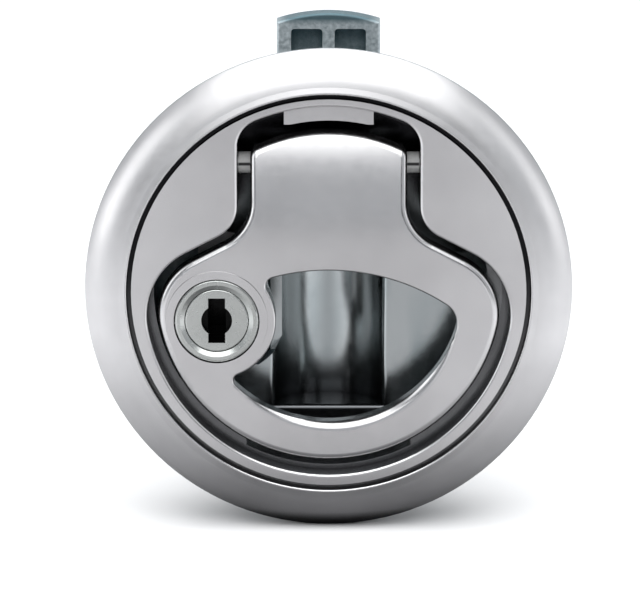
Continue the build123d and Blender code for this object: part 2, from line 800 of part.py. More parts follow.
with BuildPart() as bolt:
    # Flat bar with an arched nose
    with BuildSketch(plane_at(bolt_back_y)):
        with Locations((0, bolt_top_z - bolt_crown_r)):
            Circle(bolt_crown_r)
        with Locations((0, (bolt_tail_z + bolt_top_z) / 2)):
            Rectangle(bolt_w, bolt_top_z - bolt_tail_z, mode=Mode.INTERSECT)
    extrude(amount=bolt_t)
    front = bolt.faces().sort_by(Axis.Y)[0]
    fillet(front.edges().filter_by(lambda e: (e @ 0.5).Z > bolt_tail_z + near_by), bolt_edge_r)

    # Ramp on the back of the nose
    with BuildSketch(Plane.YZ):
        with BuildLine():
            Polyline(
                (bolt_back_y, nose_bevel_z),
                (bolt_back_y, bolt_top_z + bolt_t),
                (bolt_front_y + nose_tip_t, bolt_top_z + bolt_t),
                (bolt_front_y + nose_tip_t, bolt_top_z),
                close=True,
            )
        make_face()
    extrude(amount=bolt_w, both=True, mode=Mode.SUBTRACT)

    # Two pockets in the nose's front with a rib between them
    pocket_high_z = bolt_top_z - pocket_top_t
    with BuildSketch(plane_at(bolt_front_y)):
        with Locations((0, (pocket_low_z + pocket_high_z) / 2)):
            with GridLocations(pocket_w + pocket_rib_t, 0, 2, 1):
                RectangleRounded(pocket_w, pocket_high_z - pocket_low_z, pocket_corner_r)
    extrude(amount=-pocket_depth, mode=Mode.SUBTRACT)

    # Lug that the arm pushes, and the bores for the springs
    with BuildSketch(plane_at(bolt_front_y)):
        with Locations((0, (bolt_tail_z + lug_top_z) / 2)):
            Rectangle(lug_w, lug_t)
    extrude(amount=depth(bolt_front_y, lug_front_y))
    with BuildSketch(Plane.XY.offset(bolt_tail_z)):
        with Locations((-bolt_spring_x, spring_y), (bolt_spring_x, spring_y)):
            Circle(spring_bore_r)
    extrude(amount=spring_bore_top_z - bolt_tail_z, mode=Mode.SUBTRACT)
bolt.part.label = "bolt"
export_step(bolt.part, "parts/bolt.step")


with BuildPart() as bolt_cover:
    with BuildSketch(plane_at(channel_y1)):
        with Locations((0, (channel_low_z + channel_top_z) / 2)):
            RectangleRounded(2 * channel_outer, channel_top_z - channel_low_z, cover_corner_r)
        with Locations((0, cover_screw_z)):
            with GridLocations(2 * cover_screw_x, cover_screw_span, 2, 2):
                Circle(cover_hole_r, mode=Mode.SUBTRACT)
    extrude(amount=-cover_t)
bolt_cover.part.label = "bolt_cover"
export_step(bolt_cover.part, "parts/bolt_cover.step")


def screw_turned(shank_r, grip, head_r, head_t):
    """Turns a pan-head screw about z, its head's underside at z = 0 and its shank below."""
    with BuildPart() as screw:
        with BuildSketch():
            Circle(shank_r)
        extrude(amount=-grip)
        chamfer(screw.edges().sort_by(Axis.Z)[0], screw_tip_share * shank_r)
        with BuildSketch():
            Circle(head_r)
        extrude(amount=head_t)
        fillet(screw.edges().sort_by(Axis.Z)[-1], head_edge_r)
        with BuildSketch(Plane.XY.offset(head_t)):
            Rectangle(2 * drive_l_share * head_r, drive_w)
            Rectangle(drive_w, 2 * drive_l_share * head_r)
        extrude(amount=-drive_depth, mode=Mode.SUBTRACT)
    return screw.part


# Identical screws share one node: they point into the body from behind
cover_screw = screw_turned(cover_screw_r, cover_screw_grip + cover_t, cover_head_r, cover_head_t)
with BuildPart() as cover_screws:
    with BuildPart(Plane.XZ.offset(-(channel_y1 + cover_t))):
        with Locations((0, cover_screw_z)):
            with GridLocations(2 * cover_screw_x, cover_screw_span, 2, 2):
                add(cover_screw, rotation=(180, 0, 0))
cover_screws.part.label = "cover_screws"
export_step(cover_screws.part, "parts/cover_screws.step")


with BuildPart() as clamp_ring:
    # Turned horseshoe of folded sheet: a foot on the panel and a wall round the barrel
    with BuildSketch(Plane.XY):
        with BuildLine():
            Polyline(
                (clamp_inner_r, panel_t),
                (clamp_outer_r, panel_t),
                (clamp_outer_r, panel_t + clamp_t),
                (clamp_inner_r + clamp_t, panel_t + clamp_t),
                (clamp_inner_r + clamp_t, boss_end_y + clamp_t),
                (clamp_inner_r, boss_end_y + clamp_t),
                close=True,
            )
        make_face()
    revolve(axis=Axis.Y)
    with BuildSketch(plane_at(panel_t)):
        with Locations((0, clamp_outer_r)):
            Rectangle(clamp_mouth_w, 2 * clamp_outer_r)
    extrude(amount=-2 * clamp_outer_r, mode=Mode.SUBTRACT)

    # Ears that reach in over the bosses
    ear_l = clamp_inner_r + clamp_t / 2 - ear_inner_r
    with BuildSketch(plane_at(boss_end_y)):
        with PolarLocations(ear_inner_r + ear_l / 2, len(clamp_angles), start_angle=clamp_angles[0]):
            Rectangle(ear_l, ear_w)
        with PolarLocations(ear_inner_r, len(clamp_angles), start_angle=clamp_angles[0]):
            Circle(ear_w / 2)
        with PolarLocations(clamp_pcd_r, len(clamp_angles), start_angle=clamp_angles[0]):
            Circle(clamp_hole_r, mode=Mode.SUBTRACT)
    extrude(amount=-clamp_t)
clamp_ring.part.label = "clamp_ring"
export_step(clamp_ring.part, "parts/clamp_ring.step")


with BuildPart() as clamp_washers:
    with BuildSketch(plane_at(boss_end_y + clamp_t)):
        with PolarLocations(clamp_pcd_r, len(clamp_angles), start_angle=clamp_angles[0]):
            Circle(washer_r)
            Circle(clamp_hole_r, mode=Mode.SUBTRACT)
    extrude(amount=-washer_t)
clamp_washers.part.label = "clamp_washers"
export_step(clamp_washers.part, "parts/clamp_washers.step")


clamp_screw_l = clamp_screw_grip + clamp_t + washer_t
clamp_screw = screw_turned(clamp_screw_r, clamp_screw_l, clamp_head_r, clamp_head_t)
with BuildPart() as clamp_screws:
    with BuildPart(plane_at(boss_end_y + clamp_t + washer_t)):
        with PolarLocations(clamp_pcd_r, len(clamp_angles), start_angle=clamp_angles[0]):
            add(clamp_screw, rotation=(180, 0, 0))
clamp_screws.part.label = "clamp_screws"
export_step(clamp_screws.part, "parts/clamp_screws.step")


# The lock's axis lies along y; its pieces are turned about it
lock_axis = Axis((lock_x, 0, lock_z), (0, 1, 0))
lock_plane = Plane((lock_x, 0, lock_z), x_dir=(1, 0, 0), z_dir=(0, 0, 1))

with BuildPart() as lock_body:
    with BuildSketch(lock_plane):
        with BuildLine():
            Polyline(
                (plug_r + plug_play, plug_front_y),
                (plug_r + plug_play, lock_body_end_y - lock_back_t),
                (plug_shank_r + plug_play, lock_body_end_y - lock_back_t),
                (plug_shank_r + plug_play, lock_body_end_y),
                (lock_body_r, lock_body_end_y),
                (lock_body_r, lock_head_y + lock_head_t),
                (lock_head_r, lock_head_y + lock_head_t),
                (lock_head_r, lock_head_y),
                (lock_head_r - lock_head_rim, lock_head_y),
                close=True,
            )
        make_face()
    revolve(axis=lock_axis)
    head_rim = lock_body.edges().filter_by(GeomType.CIRCLE).group_by(Axis.Y)[0].sort_by(SortBy.RADIUS)[-1]
    fillet(head_rim, lock_head_edge_r)
    # Flats that keep it from turning
    with BuildSketch(plane_at(lock_head_y + lock_head_t)):
        with Locations((lock_x, lock_z)):
            Circle(2 * lock_body_r)
            Rectangle(lock_body_flat_w, 4 * lock_body_r, mode=Mode.SUBTRACT)
    extrude(amount=depth(lock_head_y + lock_head_t, lock_body_end_y), mode=Mode.SUBTRACT)
lock_body.part.label = "lock_body"
export_step(lock_body.part, "parts/lock_body.step")


with BuildPart() as lock_nut:
    with BuildSketch(plane_at(lock_boss_end_y)):
        with Locations((lock_x, lock_z)):
            RegularPolygon(nut_flats_w / 2, 6, major_radius=False, rotation=30)
            Circle(lock_body_r + thread_play, mode=Mode.SUBTRACT)
    extrude(amount=-nut_t)
lock_nut.part.label = "lock_nut"
export_step(lock_nut.part, "parts/lock_nut.step")


with BuildPart() as lock_plug:
    # Stepped plug with a square end
    with BuildSketch(plane_at(plug_front_y)):
        with Locations((lock_x, lock_z)):
            Circle(plug_r)
    extrude(amount=depth(plug_front_y, plug_end_y))
    fillet(lock_plug.faces().sort_by(Axis.Y)[0].edges(), plug_edge_r)
    with BuildSketch(plane_at(plug_end_y)):
        with Locations((lock_x, lock_z)):
            Circle(plug_shank_r)
    extrude(amount=depth(plug_end_y, cam_y - cam_hole_play))
    with BuildSketch(plane_at(cam_y - cam_hole_play)):
        with Locations((lock_x, lock_z)):
            Rectangle(plug_square_w, plug_square_w)
    extrude(amount=depth(cam_y, cam_end_y))

    # Keyhole: a slot with a round middle
    with BuildSketch(plane_at(plug_front_y)):
        with Locations((lock_x, lock_z)):
            Rectangle(key_slot_w, key_slot_h)
            Circle(key_round_r)
    extrude(amount=-key_depth, mode=Mode.SUBTRACT)

    # Slots for the wafers and the cam screw's hole
    for index in range(wafer_count):
        wafer_y = wafer_first_y + index * wafer_pitch
        with BuildSketch(plane_at(wafer_y - wafer_play)):
            with Locations((lock_x, lock_z)):
                Rectangle(wafer_w + 2 * wafer_play, wafer_h + 2 * wafer_play)
        extrude(amount=-(wafer_t + 2 * wafer_play), mode=Mode.SUBTRACT)
    with BuildSketch(plane_at(cam_end_y)):
        with Locations((lock_x, lock_z)):
            Circle(cam_screw_r + thread_play)
    extrude(amount=cam_screw_l, mode=Mode.SUBTRACT)
lock_plug.part.label = "lock_plug"
export_step(lock_plug.part, "parts/lock_plug.step")


with BuildPart() as lock_wafers:
    window_w = key_slot_w + 2 * wafer_window_gap
    window_h = key_slot_h + 2 * wafer_window_gap
    for index in range(wafer_count):
        with BuildSketch(plane_at(wafer_first_y + index * wafer_pitch)):
            with Locations((lock_x, lock_z)):
                Rectangle(wafer_w, wafer_h)
                Rectangle(window_w, window_h, mode=Mode.SUBTRACT)
        extrude(amount=-wafer_t)
lock_wafers.part.label = "lock_wafers"
export_step(lock_wafers.part, "parts/lock_wafers.step")


with BuildPart() as lock_cam:
    # Tongue pointing up; half a turn brings it down behind the cup's floor
    with BuildSketch(plane_at(cam_y)):
        with Locations((lock_x, lock_z)):
            Circle(cam_reach)
            with Locations((0, cam_reach / 2)):
                Rectangle(cam_w, cam_reach, mode=Mode.INTERSECT)
            Circle(cam_hub_r)
            hole_w = plug_square_w + 2 * cam_hole_play
            Rectangle(hole_w, hole_w, mode=Mode.SUBTRACT)
    extrude(amount=-cam_t)
lock_cam.part.label = "lock_cam"
export_step(lock_cam.part, "parts/lock_cam.step")


with BuildPart() as cam_washer:
    with BuildSketch(plane_at(cam_end_y)):
        with Locations((lock_x, lock_z)):
            Circle(cam_washer_r)
            Circle(cam_screw_r + thread_play, mode=Mode.SUBTRACT)
    extrude(amount=-cam_washer_t)
cam_washer.part.label = "cam_washer"
export_step(cam_washer.part, "parts/cam_washer.step")


cam_screw_piece = screw_turned(
    cam_screw_r, cam_screw_l + cam_washer_t - screw_hole_extra, cam_screw_head_r, cam_screw_head_t
)
with BuildPart() as cam_screw:
    with BuildPart(plane_at(cam_end_y + cam_washer_t)):
        with Locations((lock_x, lock_z)):
            add(cam_screw_piece, rotation=(180, 0, 0))
cam_screw.part.label = "cam_screw"
export_step(cam_screw.part, "parts/cam_screw.step")


with BuildPart() as lock_cap:
    # Cap that closes the well behind the cam, between the barrel and the trough's back
    with BuildSketch(plane_at(floor_back_y)):
        with Locations((lock_x, lock_z)):
            Circle(lock_cap_r)
        Circle(barrel_inner_r - lock_cap_fit, mode=Mode.INTERSECT)
    extrude(amount=depth(floor_back_y, lock_cap_end_y))
    with BuildSketch(plane_at(floor_back_y)):
        with Locations((lock_x, lock_z)):
            Circle(lock_cap_r - lock_cap_wall)
        Circle(barrel_inner_r - lock_cap_fit - lock_cap_wall, mode=Mode.INTERSECT)
    extrude(amount=depth(floor_back_y, lock_cap_end_y - lock_cap_wall), mode=Mode.SUBTRACT)
    with BuildSketch(Plane.XY.offset(trough_low_z)):
        with Locations((0, cup_floor_y)):
            Circle(trough_r + trough_wall + lock_cap_fit)
    extrude(amount=3 * trough_r, mode=Mode.SUBTRACT)
lock_cap.part.label = "lock_cap"
export_step(lock_cap.part, "parts/lock_cap.step")
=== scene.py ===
"""Dresses the flush hatch latch: plated, cast and sprung pieces, a soft studio and the camera."""

from __future__ import annotations

import json
import logging
import math
from dataclasses import dataclass
from enum import Enum

import bpy
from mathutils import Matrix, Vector


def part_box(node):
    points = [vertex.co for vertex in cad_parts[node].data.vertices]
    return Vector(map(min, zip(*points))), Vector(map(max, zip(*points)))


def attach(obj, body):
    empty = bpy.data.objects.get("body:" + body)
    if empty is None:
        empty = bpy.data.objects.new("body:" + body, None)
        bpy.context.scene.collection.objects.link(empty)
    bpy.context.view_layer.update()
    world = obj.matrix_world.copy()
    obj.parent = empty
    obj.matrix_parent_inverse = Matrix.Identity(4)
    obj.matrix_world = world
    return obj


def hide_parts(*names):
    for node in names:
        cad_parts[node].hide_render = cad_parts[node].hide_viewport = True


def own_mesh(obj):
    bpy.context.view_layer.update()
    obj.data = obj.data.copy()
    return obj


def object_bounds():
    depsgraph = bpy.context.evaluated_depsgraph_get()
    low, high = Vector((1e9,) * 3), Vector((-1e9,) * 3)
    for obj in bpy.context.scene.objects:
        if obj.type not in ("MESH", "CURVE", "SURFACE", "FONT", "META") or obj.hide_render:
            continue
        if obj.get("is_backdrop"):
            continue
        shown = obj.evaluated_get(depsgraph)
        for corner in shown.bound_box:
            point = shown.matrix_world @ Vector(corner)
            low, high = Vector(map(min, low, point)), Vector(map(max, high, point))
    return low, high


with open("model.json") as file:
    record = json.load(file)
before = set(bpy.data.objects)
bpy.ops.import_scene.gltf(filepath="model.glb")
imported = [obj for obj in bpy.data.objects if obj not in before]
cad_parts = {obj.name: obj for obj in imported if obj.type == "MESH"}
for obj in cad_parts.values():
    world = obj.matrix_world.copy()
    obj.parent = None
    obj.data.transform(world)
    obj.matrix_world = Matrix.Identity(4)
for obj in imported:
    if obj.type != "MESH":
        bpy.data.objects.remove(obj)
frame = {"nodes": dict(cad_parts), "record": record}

log = logging.getLogger("latch")

MM = 0.001
NOISE_LOW = 0.3
NOISE_HIGH = 0.7
Colour = tuple[float, float, float]
Point = tuple[float, float, float]


class Slot(Enum):
    """Material slots of the record, by the finish that they stand for."""

    CHROME = "chrome"
    LOCK_CHROME = "lock_chrome"
    ZINC = "zinc"
    STEEL = "steel"
    SPRING_STEEL = "spring_steel"
    BRASS = "brass"
    NYLON = "nylon"
    RUBBER = "rubber"


class Body(Enum):
    """The frame's body that the pieces made here ride on."""

    HOUSING = "housing_body"


@dataclass(frozen=True)
class Grain:
    """A noise over a piece, and how much of a second tone it brings in over which part of its range."""

    scale: float
    detail: float
    low: float = NOISE_LOW
    high: float = NOISE_HIGH
    share: float = 1.0
    stretch: Point = (1.0, 1.0, 1.0)


@dataclass(frozen=True)
class Relief:
    """How far a noise or a slope stands out of the surface."""

    strength: float
    depth: float


@dataclass(frozen=True)
class GapShade:
    """How far a finish's painted gap shade looks round for walls, and at which openness it is darkest and
    lightest.
    """

    reach: float
    closed: float
    open: float


class Graph:
    """Adds nodes to one tree and wires them by the names of their inputs."""

    def __init__(self, tree: bpy.types.NodeTree) -> None:
        """Takes the tree that the nodes go into.

        Args:
            tree: Material or geometry tree.
        """
        self.tree = tree

    def add(self, kind: str, **inputs: object) -> bpy.types.Node:
        """Adds a node and sets or links its inputs by name.

        Args:
            kind: Blender's name of the node type.
            inputs: Input names, with spaces as underscores, and their values or source sockets.

        Returns:
            The new node.
        """
        node = self.tree.nodes.new(kind)
        for name, value in inputs.items():
            self.feed(node.inputs[name.replace("_", " ")], value)
        return node

    def feed(self, socket: bpy.types.NodeSocket, value: object) -> None:
        """Links a socket to a source socket, or sets it to a plain value.

        Args:
            socket: Input socket to fill.
            value: Source socket or plain value.
        """
        if isinstance(value, bpy.types.NodeSocket):
            self.tree.links.new(value, socket)
        else:
            socket.default_value = value

    def maths(self, operation: str, first: object, second: object = 0.0) -> bpy.types.NodeSocket:
        """Works out one number from two.

        Args:
            operation: Blender's name of the operation.
            first: First value or source socket.
            second: Second value or source socket.

        Returns:
            The result's socket.
        """
        node = self.tree.nodes.new("ShaderNodeMath")
        node.operation = operation
        self.feed(node.inputs[0], first)
        self.feed(node.inputs[1], second)
        return node.outputs[0]

    def spread(self, value: bpy.types.NodeSocket, low: object, high: object, to_low: object, to_high: object
               ) -> bpy.types.NodeSocket:
        """Maps one range of a value to another, held at its ends.

        Args:
            value: Source socket.
            low: Start of the source range.
            high: End of the source range.
            to_low: Result at the start.
            to_high: Result at the end.

        Returns:
            The mapped value's socket.
        """
        node = self.add("ShaderNodeMapRange")
        for socket, number in zip(node.inputs, (value, low, high, to_low, to_high)):
            self.feed(socket, number)
        return node.outputs[0]


class Shader(Graph):
    """Builds one node material, from its Object coordinates to its Principled surface."""

    gap_samples = 8

    def __init__(self, name: str) -> None:
        """Starts an empty material with its Principled surface.

        Args:
            name: Name of the new material.
        """
        self.material = bpy.data.materials.new(name)
        self.material.use_nodes = True
        super().__init__(self.material.node_tree)
        self.surface = self.tree.nodes["Principled BSDF"]
        self.place = self.add("ShaderNodeTexCoord").outputs["Object"]
        split = self.add("ShaderNodeSeparateXYZ", Vector=self.place)
        self.across, self.depth, self.height = split.outputs

    def noise(self, grain: Grain) -> bpy.types.NodeSocket:
        """Gives a noise over the piece.

        Args:
            grain: Its waves in a metre, its octaves and its scale along each axis.

        Returns:
            The noise's factor socket.
        """
        mapping = self.add("ShaderNodeMapping", Vector=self.place, Scale=grain.stretch)
        node = self.add("ShaderNodeTexNoise", Vector=mapping.outputs[0], Scale=grain.scale,
                        Detail=grain.detail)
        return node.outputs["Fac"]

    def shown(self, noise: bpy.types.NodeSocket, grain: Grain) -> bpy.types.NodeSocket:
        """Gives the share of the second tone that a noise brings in.

        Args:
            noise: The noise's socket.
            grain: The part of its range that counts, and the share at its end.

        Returns:
            The share's socket.
        """
        return self.spread(noise, grain.low, grain.high, 0.0, grain.share)

    def roughen(self, noise: bpy.types.NodeSocket, roughness: float, less: float, more: float
                ) -> bpy.types.NodeSocket:
        """Lets a roughness go up and down with a noise.

        Args:
            noise: The noise's socket.
            roughness: The plain roughness.
            less: What the low end takes off.
            more: What the high end adds.

        Returns:
            The roughness's socket.
        """
        return self.spread(noise, NOISE_LOW, NOISE_HIGH, roughness - less, roughness + more)

    def step(self, value: bpy.types.NodeSocket, at: float, width: float) -> bpy.types.NodeSocket:
        """Gives 0 below a value and 1 past it.

        Args:
            value: Source socket.
            at: Where the step starts.
            width: How wide its slope is.

        Returns:
            The step's socket.
        """
        return self.spread(value, at, at + width, 0.0, 1.0)

    def drop(self, value: bpy.types.NodeSocket, at: float, width: float) -> bpy.types.NodeSocket:
        """Gives 1 below a value and 0 past it.

        Args:
            value: Source socket.
            at: Where the drop starts.
            width: How wide its slope is.

        Returns:
            The drop's socket.
        """
        return self.spread(value, at, at + width, 1.0, 0.0)

    def mix(self, factor: object, first: object, second: object) -> bpy.types.NodeSocket:
        """Mixes two colours.

        Args:
            factor: Share of the second colour.
            first: Colour at factor 0.
            second: Colour at factor 1.

        Returns:
            The mixed colour's socket.
        """
        node = self.tree.nodes.new("ShaderNodeMix")
        node.data_type = "RGBA"
        for name, value in (("Factor_Float", factor), ("A_Color", first), ("B_Color", second)):
            socket = next(s for s in node.inputs if s.identifier == name)
            self.feed(socket, (*value, 1.0) if isinstance(value, tuple) else value)
        return next(s for s in node.outputs if s.identifier == "Result_Color")

    def away(self, x: float, z: float) -> bpy.types.NodeSocket:
        """Gives the distance from an axis along y.

        Args:
            x: The axis's x.
            z: The axis's z.

        Returns:
            The distance's socket.
        """
        aside = self.maths("SUBTRACT", self.across, x)
        above = self.maths("SUBTRACT", self.height, z)
        squares = (self.maths("MULTIPLY", side, side) for side in (aside, above))
        return self.maths("SQRT", self.maths("ADD", *squares))

    def gap_shade(self, gap: GapShade) -> bpy.types.NodeSocket:
        """Gives 0 in narrow gaps and 1 on open surfaces.

        Args:
            gap: Its reach and its two ends.

        Returns:
            The openness socket.
        """
        node = self.add("ShaderNodeAmbientOcclusion", Distance=gap.reach)
        node.samples = self.gap_samples
        return self.spread(node.outputs["AO"], gap.closed, gap.open, 0.0, 1.0)

    def bump(self, height: bpy.types.NodeSocket, relief: Relief) -> None:
        """Adds a relief to the surface, on top of those that it has.

        Args:
            height: Height socket.
            relief: Its strength, and the depth in metres that a height of 1 stands for.
        """
        node = self.add("ShaderNodeBump", Height=height, Strength=relief.strength, Distance=relief.depth)
        before = self.surface.inputs["Normal"].links
        if before:
            self.feed(node.inputs["Normal"], before[0].from_socket)
        self.feed(self.surface.inputs["Normal"], node.outputs[0])

    def finish(self, **inputs: object) -> bpy.types.Material:
        """Fills the Principled surface's inputs and hands the material over.

        Args:
            inputs: Input names, with spaces as underscores, and their values or source sockets.

        Returns:
            The finished material.
        """
        for name, value in inputs.items():
            colour = isinstance(value, tuple) and len(value) == 3
            self.feed(self.surface.inputs[name.replace("_", " ")], (*value, 1.0) if colour else value)
        return self.material


@dataclass(frozen=True)
class SatinChrome:
    """Plated casting: satin on the face, cooler and smoother in the cup, with painted shade: black in the
    narrow gaps, the groove and the recess's pocket, dark on the ledge and low in the trough.
    """

    name: str
    colour: Colour = (0.60, 0.595, 0.60)
    cloud_colour: Colour = (0.54, 0.535, 0.54)
    clouds: Grain = Grain(90.0, 3.0)
    face_roughness: float = 0.22
    wear: Grain = Grain(700.0, 4.0)
    wear_less: float = 0.02
    wear_more: float = 0.03
    skin: Grain = Grain(5200.0, 2.0)
    skin_relief: Relief = Relief(0.08, 0.010 * MM)
    ring_roughness: float = 0.36
    ring_starts: float = 34.2 * MM
    ring_edge: float = 0.4 * MM
    cup_colour: Colour = (0.41, 0.435, 0.44)
    cup_cloud_colour: Colour = (0.30, 0.34, 0.35)
    blotches: Grain = Grain(120.0, 2.0, 0.42, 0.66, 0.8, (1.0, 1.0, 0.35))
    cup_roughness: float = 0.20
    cup_starts: float = -2.6 * MM
    cup_ends: float = -1.6 * MM
    trough_half: float = 10.0 * MM
    trough_edge: float = 1.2 * MM
    # painted shade low down in the trough, fading in between these heights
    trough_fades_from: float = -16.0 * MM
    trough_fades_to: float = -22.5 * MM
    trough_shade_colour: Colour = (0.11, 0.115, 0.12)
    # painted shade: near black in narrow gaps, in the recess's pocket and in the groove
    gap_shade_colour: Colour = (0.012, 0.012, 0.013)
    gap: GapShade = GapShade(5.0 * MM, 0.22, 0.60)
    on_housing: bool = True
    # painted shade in the recess's pocket behind the lever
    pocket_low: float = 4.6 * MM
    pocket_starts: float = -5.3 * MM
    pocket_ends: float = -4.2 * MM
    pocket_radius: float = 32.2 * MM
    pocket_floor: float = 7.2 * MM
    pocket_edge: float = 0.4 * MM
    pocket: GapShade = GapShade(9.0 * MM, 0.50, 0.95)
    # painted shade on the ledge round the lever
    ledge_radius: float = 29.4 * MM
    ledge_edge: float = 0.1 * MM
    ledge_shade_colour: Colour = (0.30, 0.302, 0.31)
    # painted shade in the groove, black high up and lighter low down
    groove_inner: float = 33.2 * MM
    groove_outer: float = 34.15 * MM
    groove_edge: float = 0.05 * MM
    groove_starts: float = -5.9 * MM
    groove_slope: float = 0.2 * MM
    groove_dark_from: float = -20.0 * MM
    groove_dark_to: float = 5.0 * MM
    groove_low_share: float = 0.55
    lip_outer: float = 35.4 * MM
    lip_fall: float = 0.40 * MM
    neck_roll_from: float = 7.0 * MM
    neck_roll: float = 0.0
    true_relief: Relief = Relief(1.0, 1.0)

    def make(self) -> bpy.types.Material:
        """Builds the material.

        Returns:
            The finished material.
        """
        shader = Shader(self.name)
        radius = shader.away(0.0, 0.0)
        in_cup = shader.spread(shader.depth, self.cup_starts, self.cup_ends, 0.0, 1.0)
        clouds = shader.shown(shader.noise(self.clouds), self.clouds)
        face = shader.mix(clouds, self.colour, self.cloud_colour)
        tone = shader.mix(in_cup, face, self.cup(shader))
        # painted shade in the groove, the recess's pocket and its ledge
        if self.on_housing:
            tone = self.paint_recess_shade(shader, radius, tone)
        # painted shade: narrow gaps go black, by how closed-in the spot is
        colour = shader.mix(shader.gap_shade(self.gap), self.gap_shade_colour, tone)
        shader.bump(shader.noise(self.skin), self.skin_relief)
        if self.on_housing:
            fall = shader.spread(radius, self.groove_outer, self.lip_outer, 0.0, -self.lip_fall)
            shader.bump(fall, self.true_relief)
        if self.neck_roll:
            above = shader.maths("SUBTRACT", shader.height, self.neck_roll_from)
            up_neck = shader.maths("MAXIMUM", above, 0.0)
            fall = shader.maths("MULTIPLY", shader.maths("POWER", up_neck, 2.0), -self.neck_roll)
            shader.bump(fall, self.true_relief)
        return shader.finish(Base_Color=colour, Metallic=1.0, Roughness=self.roughness(shader, radius))

    def cup(self, shader: Shader) -> bpy.types.NodeSocket:
        """Gives the cup's blotched colour, with painted shade low down in its trough.

        Args:
            shader: Shader that the colour belongs to.

        Returns:
            The colour's socket.
        """
        blotches = shader.shown(shader.noise(self.blotches), self.blotches)
        cup = shader.mix(blotches, self.cup_colour, self.cup_cloud_colour)
        # painted shade low down in the trough
        low_down = shader.spread(shader.height, self.trough_fades_from, self.trough_fades_to, 0.0, 1.0)
        aside = shader.maths("ABSOLUTE", shader.across)
        in_trough = shader.drop(aside, self.trough_half, self.trough_edge)
        return shader.mix(shader.maths("MULTIPLY", low_down, in_trough), cup, self.trough_shade_colour)

    def roughness(self, shader: Shader, radius: bpy.types.NodeSocket) -> bpy.types.NodeSocket:
        """Gives the roughness of the face, the cup and the outer ring, with some wear.

        Args:
            shader: Shader that the roughness belongs to.
            radius: Distance from the latch's axis.

        Returns:
            The roughness's socket.
        """
        plain = shader.spread(shader.depth, self.cup_starts, self.cup_ends, self.face_roughness,
                              self.cup_roughness)
        wear = shader.roughen(shader.noise(self.wear), 0.0, self.wear_less, self.wear_more)
        on_ring = shader.spread(radius, self.ring_starts, self.ring_starts + self.ring_edge, 0.0,
                                self.ring_roughness - self.face_roughness)
        return shader.maths("ADD", plain, shader.maths("ADD", wear, on_ring))

    def paint_recess_shade(self, shader: Shader, radius: bpy.types.NodeSocket, tone: bpy.types.NodeSocket
             ) -> bpy.types.NodeSocket:
        """Paints shade into the groove and, where the lever shades them, into the recess's pocket and
        ledge.

        Args:
            shader: Shader that the colour belongs to.
            radius: Distance from the latch's axis.
            tone: The colour in the open.

        Returns:
            The darkened colour's socket.
        """
        above_cup = shader.step(shader.height, self.pocket_low - self.pocket_edge, self.pocket_edge)
        within = shader.drop(radius, self.pocket_radius, self.pocket_edge)
        deep = shader.spread(shader.depth, self.pocket_starts, self.pocket_ends, 0.0, 1.0)
        in_front = shader.drop(shader.depth, self.pocket_floor, self.pocket_edge)
        shaded = shader.maths("SUBTRACT", 1.0, shader.gap_shade(self.pocket))
        sunk = shader.maths("MULTIPLY", shader.maths("MULTIPLY", within, deep), in_front)
        sunk = shader.maths("MULTIPLY", sunk, shaded)
        on_ledge = shader.step(radius, self.ledge_radius - self.ledge_edge, self.ledge_edge)
        # painted shade on the ledge, then black painted shade in the pocket
        tone = shader.mix(shader.maths("MULTIPLY", on_ledge, sunk), tone, self.ledge_shade_colour)
        tone = shader.mix(shader.maths("MULTIPLY", above_cup, sunk), tone, self.gap_shade_colour)
        past_face = shader.step(radius, self.groove_inner, self.groove_edge)
        before_lip = shader.drop(radius, self.groove_outer, self.groove_edge)
        below_face = shader.step(shader.depth, self.groove_starts, self.groove_slope)
        groove = shader.maths("MULTIPLY", shader.maths("MULTIPLY", past_face, before_lip), below_face)
        groove = shader.maths("MULTIPLY", groove, in_front)
        # painted shade in the groove, lighter low down
        share = shader.spread(shader.height, self.groove_dark_from, self.groove_dark_to,
                              self.groove_low_share, 1.0)
        return shader.mix(shader.maths("MULTIPLY", groove, share), tone, self.gap_shade_colour)


@dataclass(frozen=True)
class CastZinc:
    """Grainy die casting, blue-grey with lighter grains and dark pits, with painted shade in its gaps and
    on its nose.
    """

    name: str
    colour: Colour = (0.36, 0.41, 0.43)
    light: Colour = (0.62, 0.67, 0.69)
    # colour of the pits, also used for the painted shade in gaps and on the nose
    pit_and_shade_colour: Colour = (0.07, 0.125, 0.145)
    metallic: float = 0.9
    roughness: float = 0.50
    smoother: float = 0.08
    rougher: float = 0.1
    grain: Grain = Grain(1500.0, 4.0, 0.35, 0.65, 0.7)
    patches: Grain = Grain(260.0, 3.0, 0.35, 0.7, 0.22)
    relief: Relief = Relief(0.5, 0.05 * MM)
    gap: GapShade = GapShade(5.0 * MM, 0.35, 0.88)
    # painted shade on the nose, between these heights
    nose_from: float = 41.6 * MM
    nose_to: float = 42.6 * MM
    nose_shade: float = 0.92

    def make(self) -> bpy.types.Material:
        """Builds the material.

        Returns:
            The finished material.
        """
        shader = Shader(self.name)
        grain = shader.noise(self.grain)
        patches = shader.noise(self.patches)
        tone = shader.mix(shader.shown(grain, self.grain), self.colour, self.light)
        tone = shader.mix(shader.shown(patches, self.patches), tone, self.pit_and_shade_colour)
        # painted shade: the pit colour in narrow gaps and pockets
        tone = shader.mix(shader.gap_shade(self.gap), self.pit_and_shade_colour, tone)
        # painted shade on the nose, darkest at its top
        on_nose = shader.spread(shader.height, self.nose_from, self.nose_to, 0.0, self.nose_shade)
        tone = shader.mix(on_nose, tone, self.pit_and_shade_colour)
        rough = shader.roughen(grain, self.roughness, self.smoother, self.rougher)
        shader.bump(grain, self.relief)
        return shader.finish(Base_Color=tone, Metallic=self.metallic, Roughness=rough)


